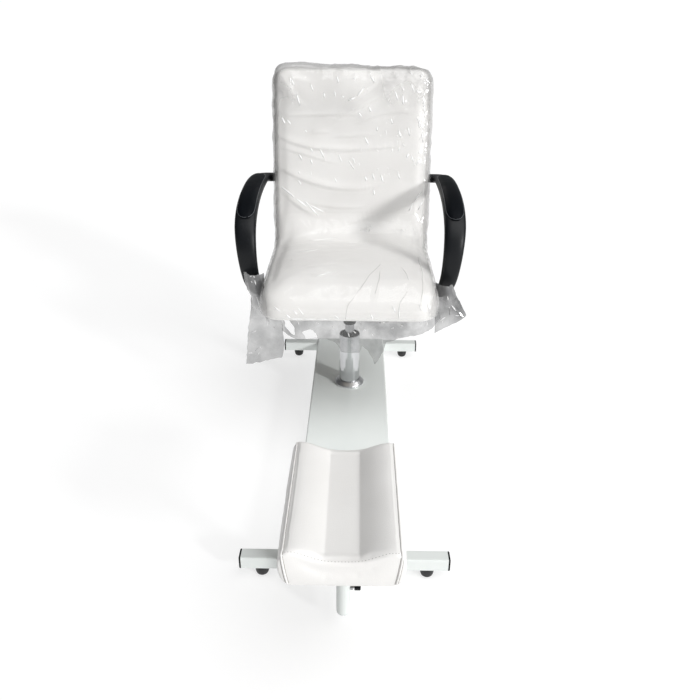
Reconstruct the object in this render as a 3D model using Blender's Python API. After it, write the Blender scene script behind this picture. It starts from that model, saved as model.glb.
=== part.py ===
# Pedicure chair: an upholstered chair with loop arms on a gas lift, standing on a long
# H-shaped base whose front end carries a padded footrest on a clamped post.
# Metres, +Z up. The seat faces -Y, towards the footrest. +X is the viewer's right.
import math

import bmesh
import bpy
from mathutils import Matrix, Vector

# Clearance between pieces that touch.
GAP = 0.0003

# Place of the column axis, from the middle of the object's box.
COLUMN_Y = 0.3260

# Base: square cross tubes on rubber feet, joined by a spine under a sheet cover.
TUBE = 0.032
TUBE_WALL = 0.002
TUBE_CORNER = 0.0035
TUBE_LENGTH = 0.463
REAR_TUBE_Y = 0.298
FRONT_TUBE_Y = -0.779
FOOT_HEIGHT = 0.0245
FOOT_RADIUS = 0.016
FOOT_INSET = 0.0455
CAP_PLATE = 0.004
COVER_WIDTH = 0.236
COVER_SHEET = 0.002
COVER_DEPTH = 0.026
BEAM = 0.025
BEAM_SPACING = 0.144
HUB_PLATE = 0.005
HUB_LENGTH = 0.110

# Column: chromed sleeve and collar round the gas lift.
SLEEVE_RADIUS = 0.0315
SLEEVE_WALL = 0.002
SLEEVE_CLEARANCE = 0.036
COLLAR_WIDTH = 0.0145
COLLAR_HEIGHT = 0.015
CYLINDER_PLAY = 0.0045
CYLINDER_WALL = 0.002
BUSH_LENGTH = 0.070
PISTON_RADIUS = 0.014
PIN_RADIUS = 0.0045

# Seat and back. The height is that of the underside of the seat board.
BOARD = 0.012
SEAT_HEIGHT = 0.382
SEAT_HALF_WIDTH = 0.240
SEAT_FRONT = -0.250
SEAT_REAR = 0.219
SEAT_THICKNESS = 0.080
SEAT_CROWN = 0.012
SEAT_FALL = 0.026
BACK_OVERHANG = 0.005
BACK_LEAN = math.radians(13.0)
BACK_LENGTH = 0.540
BACK_START = 0.018
BACK_DEPTH = 0.066
BACK_CROWN = 0.012
BACK_REAR_PAD = 0.026
ANGLE_SHEET = 0.005
ANGLE_WIDTH = 0.036
ANGLE_LEG = 0.142

# Loop arms, measured from the seat's side and from the seat board.
ARM_STANDOFF = 0.0545
ARM_HEIGHT = 0.2675
ARM_JOIN = 0.2585
ARM_FRONT = -0.095
ARM_WIDTH = 0.064
ARM_THICKNESS = 0.030
ARM_FOOT = 0.0205
ARM_PAD = 0.0055

# Mechanism under the seat and its release lever.
TRAY_HALF_X = 0.060
TRAY_HALF_Y = 0.072
TRAY_DEPTH = 0.0537
TRAY_SHEET = 0.003
TRAY_FLANGE = 0.038
SOCKET_LENGTH = 0.060
SOCKET_WALL = 0.0085
LEVER_RISE = 0.0215
LEVER_RADIUS = 0.0045
LEVER_REACH = 0.163
LEVER_AXLE_X = -0.040
AXLE_RADIUS = 0.003
GRIP_LENGTH = 0.070
GRIP_RADIUS = 0.010

# Footrest: a post clamped in a sleeve, with a tilting pad on its head.
POST_REACH = 0.141
POST_SLEEVE_RADIUS = 0.0145
POST_SLEEVE_WALL = 0.002
POST_SLEEVE_BOTTOM = 0.038
POST_SLEEVE_LENGTH = 0.127
POST_WALL = 0.0018
FOOTREST_BAR = 0.025
CLAMP_HEIGHT = 0.064
SCREW_RADIUS = 0.003
CLAMP_KNOB_RADIUS = 0.007
TILT_KNOB_RADIUS = 0.015
TILT_DROP = 0.028
FORK_HALF = 0.014
FORK_DEPTH = 0.013
EAR = 0.003
PAD_BOTTOM = 0.2463
PAD_OFFSET = 0.030
PAD_HALF_LENGTH = 0.170
PAD_HALF_WIDTH = 0.1145
PAD_HEIGHT = 0.0758
PAD_CHANNEL = 0.021

# Protective film left round the upholstery, and how far its longest end hangs below the seat.
FILM_SHEET = 0.0012
FILM_DROP = 0.182

WHITE_PAINT = (0.74, 0.78, 0.76)
BLACK = (0.012, 0.013, 0.015)
RUBBER = (0.008, 0.008, 0.009)
STEEL = (0.09, 0.09, 0.10)
CHROME = (0.78, 0.79, 0.80)
LEATHER = (0.80, 0.79, 0.77)
WOOD = (0.46, 0.33, 0.20)
FILM = (0.55, 0.56, 0.57)


def paint(name, colour, metallic, roughness):
    """A plain Principled material."""
    material = bpy.data.materials.new(name)
    material.use_nodes = True
    shader = material.node_tree.nodes["Principled BSDF"]
    shader.inputs["Base Color"].default_value = (*colour, 1.0)
    shader.inputs["Metallic"].default_value = metallic
    shader.inputs["Roughness"].default_value = roughness
    return material


def joint(name, at, parent=None):
    """An empty on a joint's axis, given round the column axis. Moving pieces hang from it."""
    empty = bpy.data.objects.new(name, None)
    empty.empty_display_size = 0.04
    bpy.context.collection.objects.link(empty)
    empty.parent = parent
    place_of = Vector(at) + Vector((0.0, COLUMN_Y, 0.0))
    empty["spot"] = tuple(place_of)
    empty.location = place_of - Vector(parent["spot"]) if parent else place_of
    return empty


def shaded(mesh):
    """Smooth shading that keeps the sharp edges."""
    mesh.shade_smooth()
    mesh.set_sharp_from_angle(angle=math.radians(38.0))
    return mesh


def place(name, bm, colour, metallic=0.0, roughness=0.5, on=None):
    """Makes a named object of a bmesh drawn round the column axis.

    A moving piece has its origin on the joint it hangs from, a fixed one at its own middle.
    """
    bmesh.ops.recalc_face_normals(bm, faces=bm.faces)
    bmesh.ops.translate(bm, vec=(0.0, COLUMN_Y, 0.0), verts=bm.verts)
    if on:
        origin = Vector(on["spot"])
    else:
        corners = [[f(v.co[i] for v in bm.verts) for i in range(3)] for f in (min, max)]
        origin = (Vector(corners[0]) + Vector(corners[1])) / 2
    bmesh.ops.translate(bm, vec=-origin, verts=bm.verts)
    mesh = bpy.data.meshes.new(name)
    bm.to_mesh(mesh)
    bm.free()
    mesh.materials.append(paint(name, colour, metallic, roughness))
    obj = bpy.data.objects.new(name, shaded(mesh))
    bpy.context.collection.objects.link(obj)
    obj.parent = on
    obj.location = (0.0, 0.0, 0.0) if on else origin
    return obj


def cut(obj, bm):
    """Cuts a shape, drawn round the column axis, out of an object."""
    bmesh.ops.recalc_face_normals(bm, faces=bm.faces)
    mesh = bpy.data.meshes.new(obj.name + "_cutter")
    bm.to_mesh(mesh)
    bm.free()
    cutter = bpy.data.objects.new(mesh.name, mesh)
    bpy.context.collection.objects.link(cutter)
    cutter.location = (0.0, COLUMN_Y, 0.0)
    modifier = obj.modifiers.new("cut", "BOOLEAN")
    modifier.operation = "DIFFERENCE"
    modifier.solver = "EXACT"
    modifier.object = cutter
    bpy.context.view_layer.update()
    graph = bpy.context.evaluated_depsgraph_get()
    result = bpy.data.meshes.new_from_object(obj.evaluated_get(graph))
    obj.modifiers.clear()
    obj.data = shaded(result)
    bpy.data.objects.remove(cutter, do_unlink=True)


def loft(rings, closed=False):
    """Skins rings of equal length in order. Open lofts get a flat face on each end."""
    bm = bmesh.new()
    rows = [[bm.verts.new(point) for point in ring] for ring in rings]
    count = len(rings[0])
    last = len(rows) if closed else len(rows) - 1
    for i in range(last):
        low, high = rows[i], rows[(i + 1) % len(rows)]
        for j in range(count):
            k = (j + 1) % count
            bm.faces.new((low[j], low[k], high[k], high[j]))
    if not closed:
        bm.faces.new(list(reversed(rows[0])))
        bm.faces.new(rows[-1])
    return bm


def box(low, high):
    """A plain block between two corners."""
    bm = bmesh.new()
    bmesh.ops.create_cube(bm, size=1.0)
    size = [b - a for a, b in zip(low, high)]
    middle = [(a + b) / 2 for a, b in zip(low, high)]
    bmesh.ops.scale(bm, vec=size, verts=bm.verts)
    bmesh.ops.translate(bm, vec=middle, verts=bm.verts)
    return bm


def rounded_box(low, high, radius, axis, segments=3):
    """A block with the four edges along one axis rounded."""
    bm = box(low, high)
    edges = [e for e in bm.edges if abs((e.verts[0].co - e.verts[1].co).normalized()[axis]) > 0.9]
    bmesh.ops.bevel(bm, geom=edges, offset=radius, segments=segments, affect="EDGES", profile=0.5)
    return bm


def turned(profile, segments, axis="Z", at=(0.0, 0.0, 0.0)):
    """Spins a profile of (radius, height) about an axis. A profile clear of the axis is closed."""
    bm = bmesh.new()
    line = [bm.verts.new((radius, 0.0, height)) for radius, height in profile]
    loop = line + line[:1] if profile[0][0] > 0.0 else line
    edges = [bm.edges.new(pair) for pair in zip(loop, loop[1:])]
    bmesh.ops.spin(bm, geom=line + edges, cent=(0.0, 0.0, 0.0), axis=(0.0, 0.0, 1.0),
                   angle=2 * math.pi, steps=segments, use_merge=True)
    bmesh.ops.remove_doubles(bm, verts=bm.verts, dist=0.000001)
    turn = Matrix()
    if axis == "X":
        turn = Matrix.Rotation(math.pi / 2, 4, "Y")
    if axis == "Y":
        turn = Matrix.Rotation(-math.pi / 2, 4, "X")
    bmesh.ops.transform(bm, matrix=Matrix.Translation(at) @ turn, verts=bm.verts)
    return bm


def rod(radius, low, high, segments, axis="Z", at=(0.0, 0.0, 0.0)):
    """A plain round bar between two heights along an axis."""
    return turned([(0.0, low), (radius, low), (radius, high), (0.0, high)], segments, axis, at)


def pipe(inner, outer, low, high, segments, axis="Z", at=(0.0, 0.0, 0.0)):
    """A plain round tube between two heights along an axis."""
    return turned([(inner, low), (outer, low), (outer, high), (inner, high)], segments, axis, at)


def outline(half_x, half_y, radius, inset=0.0, corner_points=5, side_points=4):
    """Points round a rounded rectangle, moved in by an inset."""
    half_x, half_y = half_x - inset, half_y - inset
    radius = max(radius - inset, min(radius, 0.012))
    points = []
    corners = ((1, 1, 0.0), (-1, 1, 0.5), (-1, -1, 1.0), (1, -1, 1.5))
    for number, (sx, sy, turn) in enumerate(corners):
        centre = (sx * (half_x - radius), sy * (half_y - radius))
        for i in range(corner_points + 1):
            a = math.pi * (turn + 0.5 * i / corner_points)
            points.append((centre[0] + radius * math.cos(a), centre[1] + radius * math.sin(a)))
        nx, ny, _ = corners[(number + 1) % 4]
        start = points[-1]
        if nx != sx:
            end = (nx * (half_x - radius), start[1])
        else:
            end = (start[0], ny * (half_y - radius))
        for i in range(1, side_points + 1):
            t = i / (side_points + 1)
            points.append((start[0] + t * (end[0] - start[0]), start[1] + t * (end[1] - start[1])))
    return points


def cushion(half_x, half_y, radius, levels, shape):
    """Rings of a rounded rectangle at (inset, height) levels, each point moved by shape."""
    rings = []
    for inset, height in levels:
        rings.append([shape(x, y, height) for x, y in outline(half_x, half_y, radius, inset)])
    return loft(rings)


def square_tube(low, high, wall, radius, axis):
    """A hollow square tube, open at both ends, with rounded corners along its length."""
    others = [i for i in range(3) if i != axis]
    half = [(high[i] - low[i]) / 2 for i in others]
    centre = [(high[i] + low[i]) / 2 for i in others]
    rings = []
    for inset, end in ((0.0, low), (0.0, high), (wall, high), (wall, low)):
        corner = max(radius - inset, 0.001)
        points = []
        for a, b in outline(half[0] - inset, half[1] - inset, corner, 0.0, 3, 0):
            point = [0.0, 0.0, 0.0]
            point[axis] = end[axis]
            point[others[0]] = centre[0] + a
            point[others[1]] = centre[1] + b
            points.append(point)
        rings.append(points)
    return loft(rings, closed=True)


def channel(half, wall, base, top, depth):
    """A U-shaped bracket on the footrest post: a plate at base with an ear up or down each side."""
    step = math.copysign(wall, top - base)
    profile = [(-half, base), (half, base), (half, top), (half - wall, top), (half - wall, base + step)]
    profile += [(wall - half, base + step), (wall - half, top), (-half, top)]
    return loft([[(x, POST_Y + y, z) for x, z in profile] for y in (-depth, depth)])


def film(rows, wave, columns):
    """A hanging sheet: each row is (left x, right x, y, z), with upright folds of a wave's depth."""
    bm = bmesh.new()
    layers = []
    for layer in (0, 1):
        grid = []
        for r, (x0, x1, y, z) in enumerate(rows):
            line = []
            for c in range(columns + 1):
                u = c / columns
                fold = wave * math.sin(9.0 * u + 0.5 * r) * (0.35 + 0.65 * r / (len(rows) - 1))
                line.append(bm.verts.new((x0 + (x1 - x0) * u, y + fold + layer * FILM_SHEET, z)))
            grid.append(line)
        layers.append(grid)
    front, back = layers
    last = len(rows) - 1
    for r in range(last):
        for c in range(columns):
            bm.faces.new((front[r][c], front[r][c + 1], front[r + 1][c + 1], front[r + 1][c]))
            bm.faces.new((back[r][c], back[r + 1][c], back[r + 1][c + 1], back[r][c + 1]))
        bm.faces.new((front[r][0], front[r + 1][0], back[r + 1][0], back[r][0]))
        bm.faces.new((front[r][columns], back[r][columns], back[r + 1][columns], front[r + 1][columns]))
    for c in range(columns):
        bm.faces.new((front[0][c], back[0][c], back[0][c + 1], front[0][c + 1]))
        bm.faces.new((front[last][c], front[last][c + 1], back[last][c + 1], back[last][c]))
    return bm


for old in list(bpy.data.objects):
    bpy.data.objects.remove(old, do_unlink=True)

# Heights that follow from the sizes, from the floor up.
TUBE_HIGH = FOOT_HEIGHT + TUBE
TUBE_MIDDLE = FOOT_HEIGHT + TUBE / 2
COVER_LOW = TUBE_HIGH + GAP
COVER_HIGH = COVER_LOW + COVER_SHEET
HUB_TOP = COVER_LOW - GAP - BEAM - GAP
STAND = COVER_HIGH + GAP
BOARD_TOP = SEAT_HEIGHT + BOARD
SEAT_TOP = BOARD_TOP + SEAT_THICKNESS
TRAY_TOP = SEAT_HEIGHT - GAP
TRAY_BOTTOM = TRAY_TOP - TRAY_DEPTH
SOCKET_REST = TRAY_BOTTOM + TRAY_SHEET + GAP
SOCKET_TOP = SOCKET_REST + TRAY_SHEET
SOCKET_BOTTOM = TRAY_BOTTOM - SOCKET_LENGTH
SLEEVE_TOP = SOCKET_BOTTOM - SLEEVE_CLEARANCE
CYLINDER_TOP = SLEEVE_TOP - 0.006
LEVER_Z = TRAY_BOTTOM + LEVER_RISE
AXLE_Z = LEVER_Z - LEVER_RADIUS - GAP - AXLE_RADIUS
FOOT_BOARD_LOW = PAD_BOTTOM - GAP - BOARD
TILT_Z = FOOT_BOARD_LOW - GAP - TILT_DROP
CLAMP_Z = POST_SLEEVE_BOTTOM + CLAMP_HEIGHT
POST_BOTTOM = POST_SLEEVE_BOTTOM + 0.006

# Radii and widths that follow from the sizes.
CYLINDER_RADIUS = SLEEVE_RADIUS - SLEEVE_WALL - CYLINDER_PLAY
POST_RADIUS = POST_SLEEVE_RADIUS - POST_SLEEVE_WALL - GAP
SOCKET_RADIUS = PISTON_RADIUS + SOCKET_WALL
BACK_HALF_WIDTH = SEAT_HALF_WIDTH + BACK_OVERHANG
FOOT_X = TUBE_LENGTH / 2 - FOOT_INSET
POST_Y = FRONT_TUBE_Y - POST_REACH
PAD_Y = POST_Y + PAD_OFFSET

# Joints: the lift slides up, the seat turns on it, the lever tips and presses the pin. The post
# slides in its sleeve, the footrest tilts on the post, and the two clamp knobs turn.
LIFT = joint("lift_axis", (0.0, 0.0, CYLINDER_TOP))
SEAT = joint("seat_axis", (0.0, 0.0, SEAT_HEIGHT), LIFT)
PIN = joint("release_pin_axis", (0.0, 0.0, LEVER_Z), LIFT)
LEVER = joint("lever_axis", (LEVER_AXLE_X, 0.0, AXLE_Z), SEAT)
POST = joint("footrest_post_axis", (0.0, POST_Y, POST_BOTTOM))
HEAD = joint("footrest_tilt_axis", (0.0, POST_Y, TILT_Z), POST)
TILT_KNOB = joint("tilt_knob_axis", (0.0, POST_Y, TILT_Z), POST)
CLAMP = joint("clamp_axis", (0.0, POST_Y, CLAMP_Z))

# Cross tubes, each with two end caps and two domed rubber feet.
for row, tube_y in (("rear", REAR_TUBE_Y), ("front", FRONT_TUBE_Y)):
    low = (-TUBE_LENGTH / 2, tube_y - TUBE / 2, FOOT_HEIGHT)
    high = (TUBE_LENGTH / 2, tube_y + TUBE / 2, TUBE_HIGH)
    tube = square_tube(low, high, TUBE_WALL, TUBE_CORNER, 0)
    place(row + "_cross_tube", tube, WHITE_PAINT, 0.0, 0.35)
    for side, sign in (("left", -1), ("right", 1)):
        plug = TUBE / 2 - TUBE_WALL - 0.0012
        plate = TUBE / 2
        outer = TUBE_LENGTH / 2 + GAP
        steps = [(outer - 0.012, plug), (outer, plug), (outer, plate)]
        steps += [(outer + 0.7 * CAP_PLATE, plate), (outer + CAP_PLATE, plate - 0.3 * CAP_PLATE)]
        rings = []
        for x, half in steps:
            corner = TUBE_CORNER if half > plug else 0.0012
            points = outline(half, half, corner, 0.0, 3, 0)
            rings.append([(sign * x, tube_y + a, TUBE_MIDDLE + b) for a, b in points])
        place(f"{row}_end_cap_{side}", loft(rings), BLACK, 0.0, 0.45)
        dome = [
            (0.0, 0.0),
            (0.38 * FOOT_RADIUS, 0.0),
            (0.66 * FOOT_RADIUS, 0.065 * FOOT_HEIGHT),
            (0.86 * FOOT_RADIUS, 0.205 * FOOT_HEIGHT),
            (0.975 * FOOT_RADIUS, 0.47 * FOOT_HEIGHT),
            (FOOT_RADIUS, 0.67 * FOOT_HEIGHT),
            (FOOT_RADIUS, FOOT_HEIGHT - GAP),
            (0.0, FOOT_HEIGHT - GAP),
        ]
        foot = turned(dome, 16, "Z", (sign * FOOT_X, tube_y, 0.0))
        place(f"{row}_foot_{side}", foot, RUBBER, 0.0, 0.7)

# Spine: two beams between the cross tubes under a folded sheet cover.
for side, sign in (("left", -1), ("right", 1)):
    middle = sign * BEAM_SPACING / 2
    low = (middle - BEAM / 2, FRONT_TUBE_Y + TUBE / 2 + GAP, COVER_LOW - GAP - BEAM)
    high = (middle + BEAM / 2, REAR_TUBE_Y - TUBE / 2 - GAP, COVER_LOW - GAP)
    place("spine_beam_" + side, square_tube(low, high, 0.002, 0.003, 1), WHITE_PAINT, 0.0, 0.4)

half = COVER_WIDTH / 2
bend = COVER_SHEET + 0.003
fold = bend - COVER_SHEET
section = [(half, COVER_HIGH - COVER_DEPTH)]
for i in range(5):
    a = math.pi * 0.5 * i / 4
    section.append((half - bend + bend * math.cos(a), COVER_HIGH - bend + bend * math.sin(a)))
section += [(-x, z) for x, z in reversed(section)]
inner = [(half - COVER_SHEET, COVER_HIGH - COVER_DEPTH)]
for i in range(4):
    a = math.pi * 0.5 * i / 3
    inner.append((half - bend + fold * math.cos(a), COVER_HIGH - bend + fold * math.sin(a)))
section += [(-x, z) for x, z in inner] + list(reversed(inner))
ends = (FRONT_TUBE_Y - TUBE / 2, REAR_TUBE_Y + TUBE / 2)
cover = loft([[(x, y, z) for x, z in section] for y in ends])
cover = place("spine_cover", cover, WHITE_PAINT, 0.0, 0.35)
for tube_y in (FRONT_TUBE_Y, REAR_TUBE_Y):
    reach = TUBE / 2 + 0.0012
    cut(cover, box((-COVER_WIDTH, tube_y - reach, 0.0), (COVER_WIDTH, tube_y + reach, COVER_LOW)))
cut(cover, rod(CYLINDER_RADIUS + 0.0012, COVER_LOW - 0.01, COVER_HIGH + 0.01, 20))

# Hub under the cover that holds the foot of the gas lift between the beams.
hub_half = (BEAM_SPACING + BEAM) / 2 + 0.0075
hub = box((-hub_half, -HUB_LENGTH / 2, HUB_TOP - HUB_PLATE), (hub_half, HUB_LENGTH / 2, HUB_TOP))
place("lift_hub_plate", hub, STEEL, 0.4, 0.5)
bore = CYLINDER_RADIUS + GAP
hub_tube = pipe(bore, bore + 0.0077, HUB_TOP + GAP, COVER_LOW - GAP, 20)
place("lift_hub_tube", hub_tube, STEEL, 0.4, 0.5)

# Chromed collar and sleeve round the lift, standing on the cover.
collar_radius = SLEEVE_RADIUS + COLLAR_WIDTH
collar = [
    (SLEEVE_RADIUS + GAP, STAND),
    (collar_radius, STAND),
    (collar_radius, STAND + 0.27 * COLLAR_HEIGHT),
    (collar_radius - 0.0015, STAND + 0.43 * COLLAR_HEIGHT),
    (SLEEVE_RADIUS + 0.005, STAND + 0.93 * COLLAR_HEIGHT),
    (SLEEVE_RADIUS + 0.0035, STAND + COLLAR_HEIGHT),
    (SLEEVE_RADIUS + GAP, STAND + COLLAR_HEIGHT),
]
place("column_collar", turned(collar, 32), CHROME, 1.0, 0.08)
sleeve = [
    (SLEEVE_RADIUS - SLEEVE_WALL, STAND),
    (SLEEVE_RADIUS, STAND),
    (SLEEVE_RADIUS, SLEEVE_TOP - 0.0008),
    (SLEEVE_RADIUS - 0.0008, SLEEVE_TOP),
    (SLEEVE_RADIUS - SLEEVE_WALL, SLEEVE_TOP),
]
place("column_sleeve", turned(sleeve, 32), CHROME, 1.0, 0.06)

# Gas lift: fixed cylinder, guide bush, the piston that rises out of it and its release pin.
cylinder_low = HUB_TOP + GAP
cylinder_bore = CYLINDER_RADIUS - CYLINDER_WALL
cylinder = pipe(cylinder_bore, CYLINDER_RADIUS, cylinder_low, CYLINDER_TOP, 20)
place("lift_cylinder", cylinder, STEEL, 0.6, 0.4)
bush = pipe(PISTON_RADIUS + GAP, cylinder_bore - GAP, CYLINDER_TOP - BUSH_LENGTH, CYLINDER_TOP, 20)
place("lift_guide_bush", bush, BLACK, 0.0, 0.5)
piston_low = cylinder_low + 0.0085
piston = [
    (0.0, piston_low),
    (PISTON_RADIUS - 0.001, piston_low),
    (PISTON_RADIUS, piston_low + 0.001),
    (PISTON_RADIUS, SOCKET_TOP),
    (PIN_RADIUS + GAP, SOCKET_TOP),
    (PIN_RADIUS + GAP, SOCKET_TOP - 0.016),
    (0.0, SOCKET_TOP - 0.016),
]
place("lift_piston", turned(piston, 20), STEEL, 0.9, 0.25, on=LIFT)
pin_top = LEVER_Z - LEVER_RADIUS - GAP
pin = [
    (0.0, SOCKET_TOP - 0.008),
    (PIN_RADIUS, SOCKET_TOP - 0.008),
    (PIN_RADIUS, pin_top - 0.001),
    (PIN_RADIUS - 0.001, pin_top),
    (0.0, pin_top),
]
place("lift_release_pin", turned(pin, 16), STEEL, 0.9, 0.3, on=PIN)

# Mechanism: pressed tray under the seat board with the socket for the piston.
inner_x = TRAY_HALF_X - TRAY_SHEET
inner_y = TRAY_HALF_Y - TRAY_SHEET
rings = []
for half_x, half_y, z in (
    (TRAY_HALF_X, TRAY_HALF_Y, TRAY_BOTTOM),
    (TRAY_HALF_X, TRAY_HALF_Y, TRAY_TOP - TRAY_SHEET),
    (TRAY_HALF_X + TRAY_FLANGE, TRAY_HALF_Y + TRAY_FLANGE, TRAY_TOP - TRAY_SHEET),
    (TRAY_HALF_X + TRAY_FLANGE, TRAY_HALF_Y + TRAY_FLANGE, TRAY_TOP),
    (inner_x, inner_y, TRAY_TOP),
    (inner_x, inner_y, TRAY_BOTTOM + TRAY_SHEET),
):
    rings.append([(x, y, z) for x, y in outline(half_x, half_y, 0.012, 0.0, 4, 0)])
tray = place("mechanism_tray", loft(rings), STEEL, 0.5, 0.45, on=SEAT)
cut(tray, rod(SOCKET_RADIUS + 0.0007, TRAY_BOTTOM - 0.01, TRAY_BOTTOM + 0.01, 24))
slot_low = (-TRAY_HALF_X - 0.01, -LEVER_RADIUS - 0.002, LEVER_Z - LEVER_RADIUS - 0.0035)
slot_high = (-inner_x + 0.01, LEVER_RADIUS + 0.002, LEVER_Z + LEVER_RADIUS + 0.0035)
cut(tray, rounded_box(slot_low, slot_high, 0.004, 0))
socket = [
    (PISTON_RADIUS + GAP, SOCKET_BOTTOM),
    (SOCKET_RADIUS - 0.0035, SOCKET_BOTTOM),
    (SOCKET_RADIUS, SOCKET_BOTTOM + 0.33 * SOCKET_LENGTH),
    (SOCKET_RADIUS, SOCKET_REST),
    (SOCKET_RADIUS + 0.0095, SOCKET_REST),
    (SOCKET_RADIUS + 0.0095, SOCKET_TOP),
    (PISTON_RADIUS + GAP, SOCKET_TOP),
]
place("piston_socket", turned(socket, 20), STEEL, 0.5, 0.45, on=SEAT)

# Release lever: a rod over its axle, with a grip on the outer end.
lever_at = (0.0, 0.0, LEVER_Z)
place("lever_rod", rod(LEVER_RADIUS, -LEVER_REACH, 0.006, 14, "X", lever_at), STEEL, 0.9, 0.35, on=LEVER)
axle_end = inner_y - GAP
axle = rod(AXLE_RADIUS, -axle_end, axle_end, 12, "Y", (LEVER_AXLE_X, 0.0, AXLE_Z))
place("lever_axle", axle, STEEL, 0.9, 0.35, on=LEVER)
grip_from = LEVER_REACH - GRIP_LENGTH / 2
grip_bore = LEVER_RADIUS + GAP
grip = [
    (0.0, LEVER_REACH + GAP),
    (grip_bore, LEVER_REACH + GAP),
    (grip_bore, grip_from),
    (0.75 * GRIP_RADIUS, grip_from),
    (0.85 * GRIP_RADIUS, grip_from + 0.07 * GRIP_LENGTH),
    (0.95 * GRIP_RADIUS, grip_from + 0.50 * GRIP_LENGTH),
    (GRIP_RADIUS, grip_from + 0.87 * GRIP_LENGTH),
    (0.80 * GRIP_RADIUS, grip_from + 0.97 * GRIP_LENGTH),
    (0.0, grip_from + GRIP_LENGTH),
]
grip = turned([(radius, -along) for radius, along in grip], 16, "X", lever_at)
place("lever_grip", grip, BLACK, 0.0, 0.5, on=LEVER)

# Seat board and cushion. The cushion's rim drops round the board.
seat_mid = (SEAT_FRONT + SEAT_REAR) / 2
seat_half = (SEAT_REAR - SEAT_FRONT) / 2
rings = []
for z in (SEAT_HEIGHT, BOARD_TOP):
    points = outline(SEAT_HALF_WIDTH, seat_half, 0.065, 0.020, 4, 0)
    rings.append([(x, seat_mid + y, z) for x, y in points])
seat_board = place("seat_board", loft(rings), WOOD, 0.0, 0.6, on=SEAT)


def seat_shape(x, y, z):
    """Drops the top towards the front edge, as a waterfall seat does."""
    front = max(0.0, (-y / seat_half - 0.36) / 0.64)
    share = min(1.0, max(0.0, (z - SEAT_HEIGHT - 0.03) / 0.05))
    return (x, seat_mid + y, z - share * SEAT_FALL * front * front)


rim = SEAT_HEIGHT + 0.0015
side_height = SEAT_TOP - rim
seat_levels = [(0.0180, BOARD_TOP + GAP), (0.0180, rim), (0.0100, rim)]
for inset, share in (
    (0.0040, 0.055),
    (0.0008, 0.200),
    (0.0000, 0.400),
    (0.0010, 0.600),
    (0.0050, 0.785),
    (0.0130, 0.928),
):
    seat_levels.append((inset, rim + share * side_height))
for inset, share in ((0.026, -0.33), (0.048, 0.17), (0.085, 0.58), (0.130, 0.83), (0.180, 1.0)):
    seat_levels.append((inset, SEAT_TOP + share * SEAT_CROWN))
seat_cushion = cushion(SEAT_HALF_WIDTH, seat_half, 0.055, seat_levels, seat_shape)
place("seat_cushion", seat_cushion, LEATHER, 0.0, 0.45, on=SEAT)

# Back: board, front cushion and rear pad, all in the plane of the leaning back.
UP = Vector((0.0, math.sin(BACK_LEAN), math.cos(BACK_LEAN)))
OUT = Vector((0.0, -math.cos(BACK_LEAN), math.sin(BACK_LEAN)))
BACK_FOOT = Vector((0.0, SEAT_REAR + BACK_DEPTH - 0.023, SEAT_TOP - 0.048))
back_half = BACK_LENGTH / 2
back_mid = BACK_START + back_half


def on_back(x, up, out):
    """A point of the leaning back: across, up along it and out of its front."""
    return BACK_FOOT + Vector((x, 0.0, 0.0)) + UP * up + OUT * out


def back_shape(x, y, out):
    """Lays a cushion ring on the leaning back."""
    return on_back(x, back_mid + y, out)


board_half = BACK_HALF_WIDTH - 0.022
rings = []
for out in (-BOARD / 2, BOARD / 2):
    points = outline(board_half, back_half + 0.014, 0.04, 0.0, 4, 0)
    rings.append([on_back(x, back_mid - 0.036 + y, out) for x, y in points])
place("back_board", loft(rings), WOOD, 0.0, 0.6, on=SEAT)

seam = -BOARD / 2 + 0.0002
front_levels = [(0.0200, BOARD / 2 + GAP), (0.0200, seam), (0.0100, seam)]
for inset, share in ((0.0030, 0.055), (0.0004, 0.194), (0.0, 0.417), (0.0012, 0.640), (0.0060, 0.833)):
    front_levels.append((inset, seam + share * (BACK_DEPTH - seam)))
for inset, share in ((0.015, 0.17), (0.030, 0.50), (0.055, 0.75), (0.095, 0.92), (0.150, 1.0)):
    front_levels.append((inset, BACK_DEPTH + share * BACK_CROWN))
front_cushion = cushion(BACK_HALF_WIDTH, back_half, 0.050, front_levels, back_shape)
back_cushion = place("back_cushion", front_cushion, LEATHER, 0.0, 0.45, on=SEAT)
passage = [(-1, -1), (1, -1), (1, 1), (-1, 1)]
passage = [(a * (board_half + 0.003), b * (BOARD / 2 + 0.0004)) for a, b in passage]
passage_ends = (-0.05, BACK_START + 0.065)
cut(back_cushion, loft([[on_back(x, up, out) for x, out in passage] for up in passage_ends]))

rear_levels = [(0.0100, -BOARD / 2 - GAP), (0.0030, -BOARD / 2 - GAP - 0.002)]
for inset, share in (
    (0.0, 0.35),
    (0.0020, 0.615),
    (0.0080, 0.79),
    (0.0220, 0.90),
    (0.0600, 0.96),
    (0.1300, 1.0),
):
    rear_levels.append((inset, -BOARD / 2 - share * BACK_REAR_PAD))
rear_pad = cushion(BACK_HALF_WIDTH, back_half, 0.050, rear_levels, back_shape)
place("back_rear_pad", rear_pad, LEATHER, 0.0, 0.45, on=SEAT)

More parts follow.
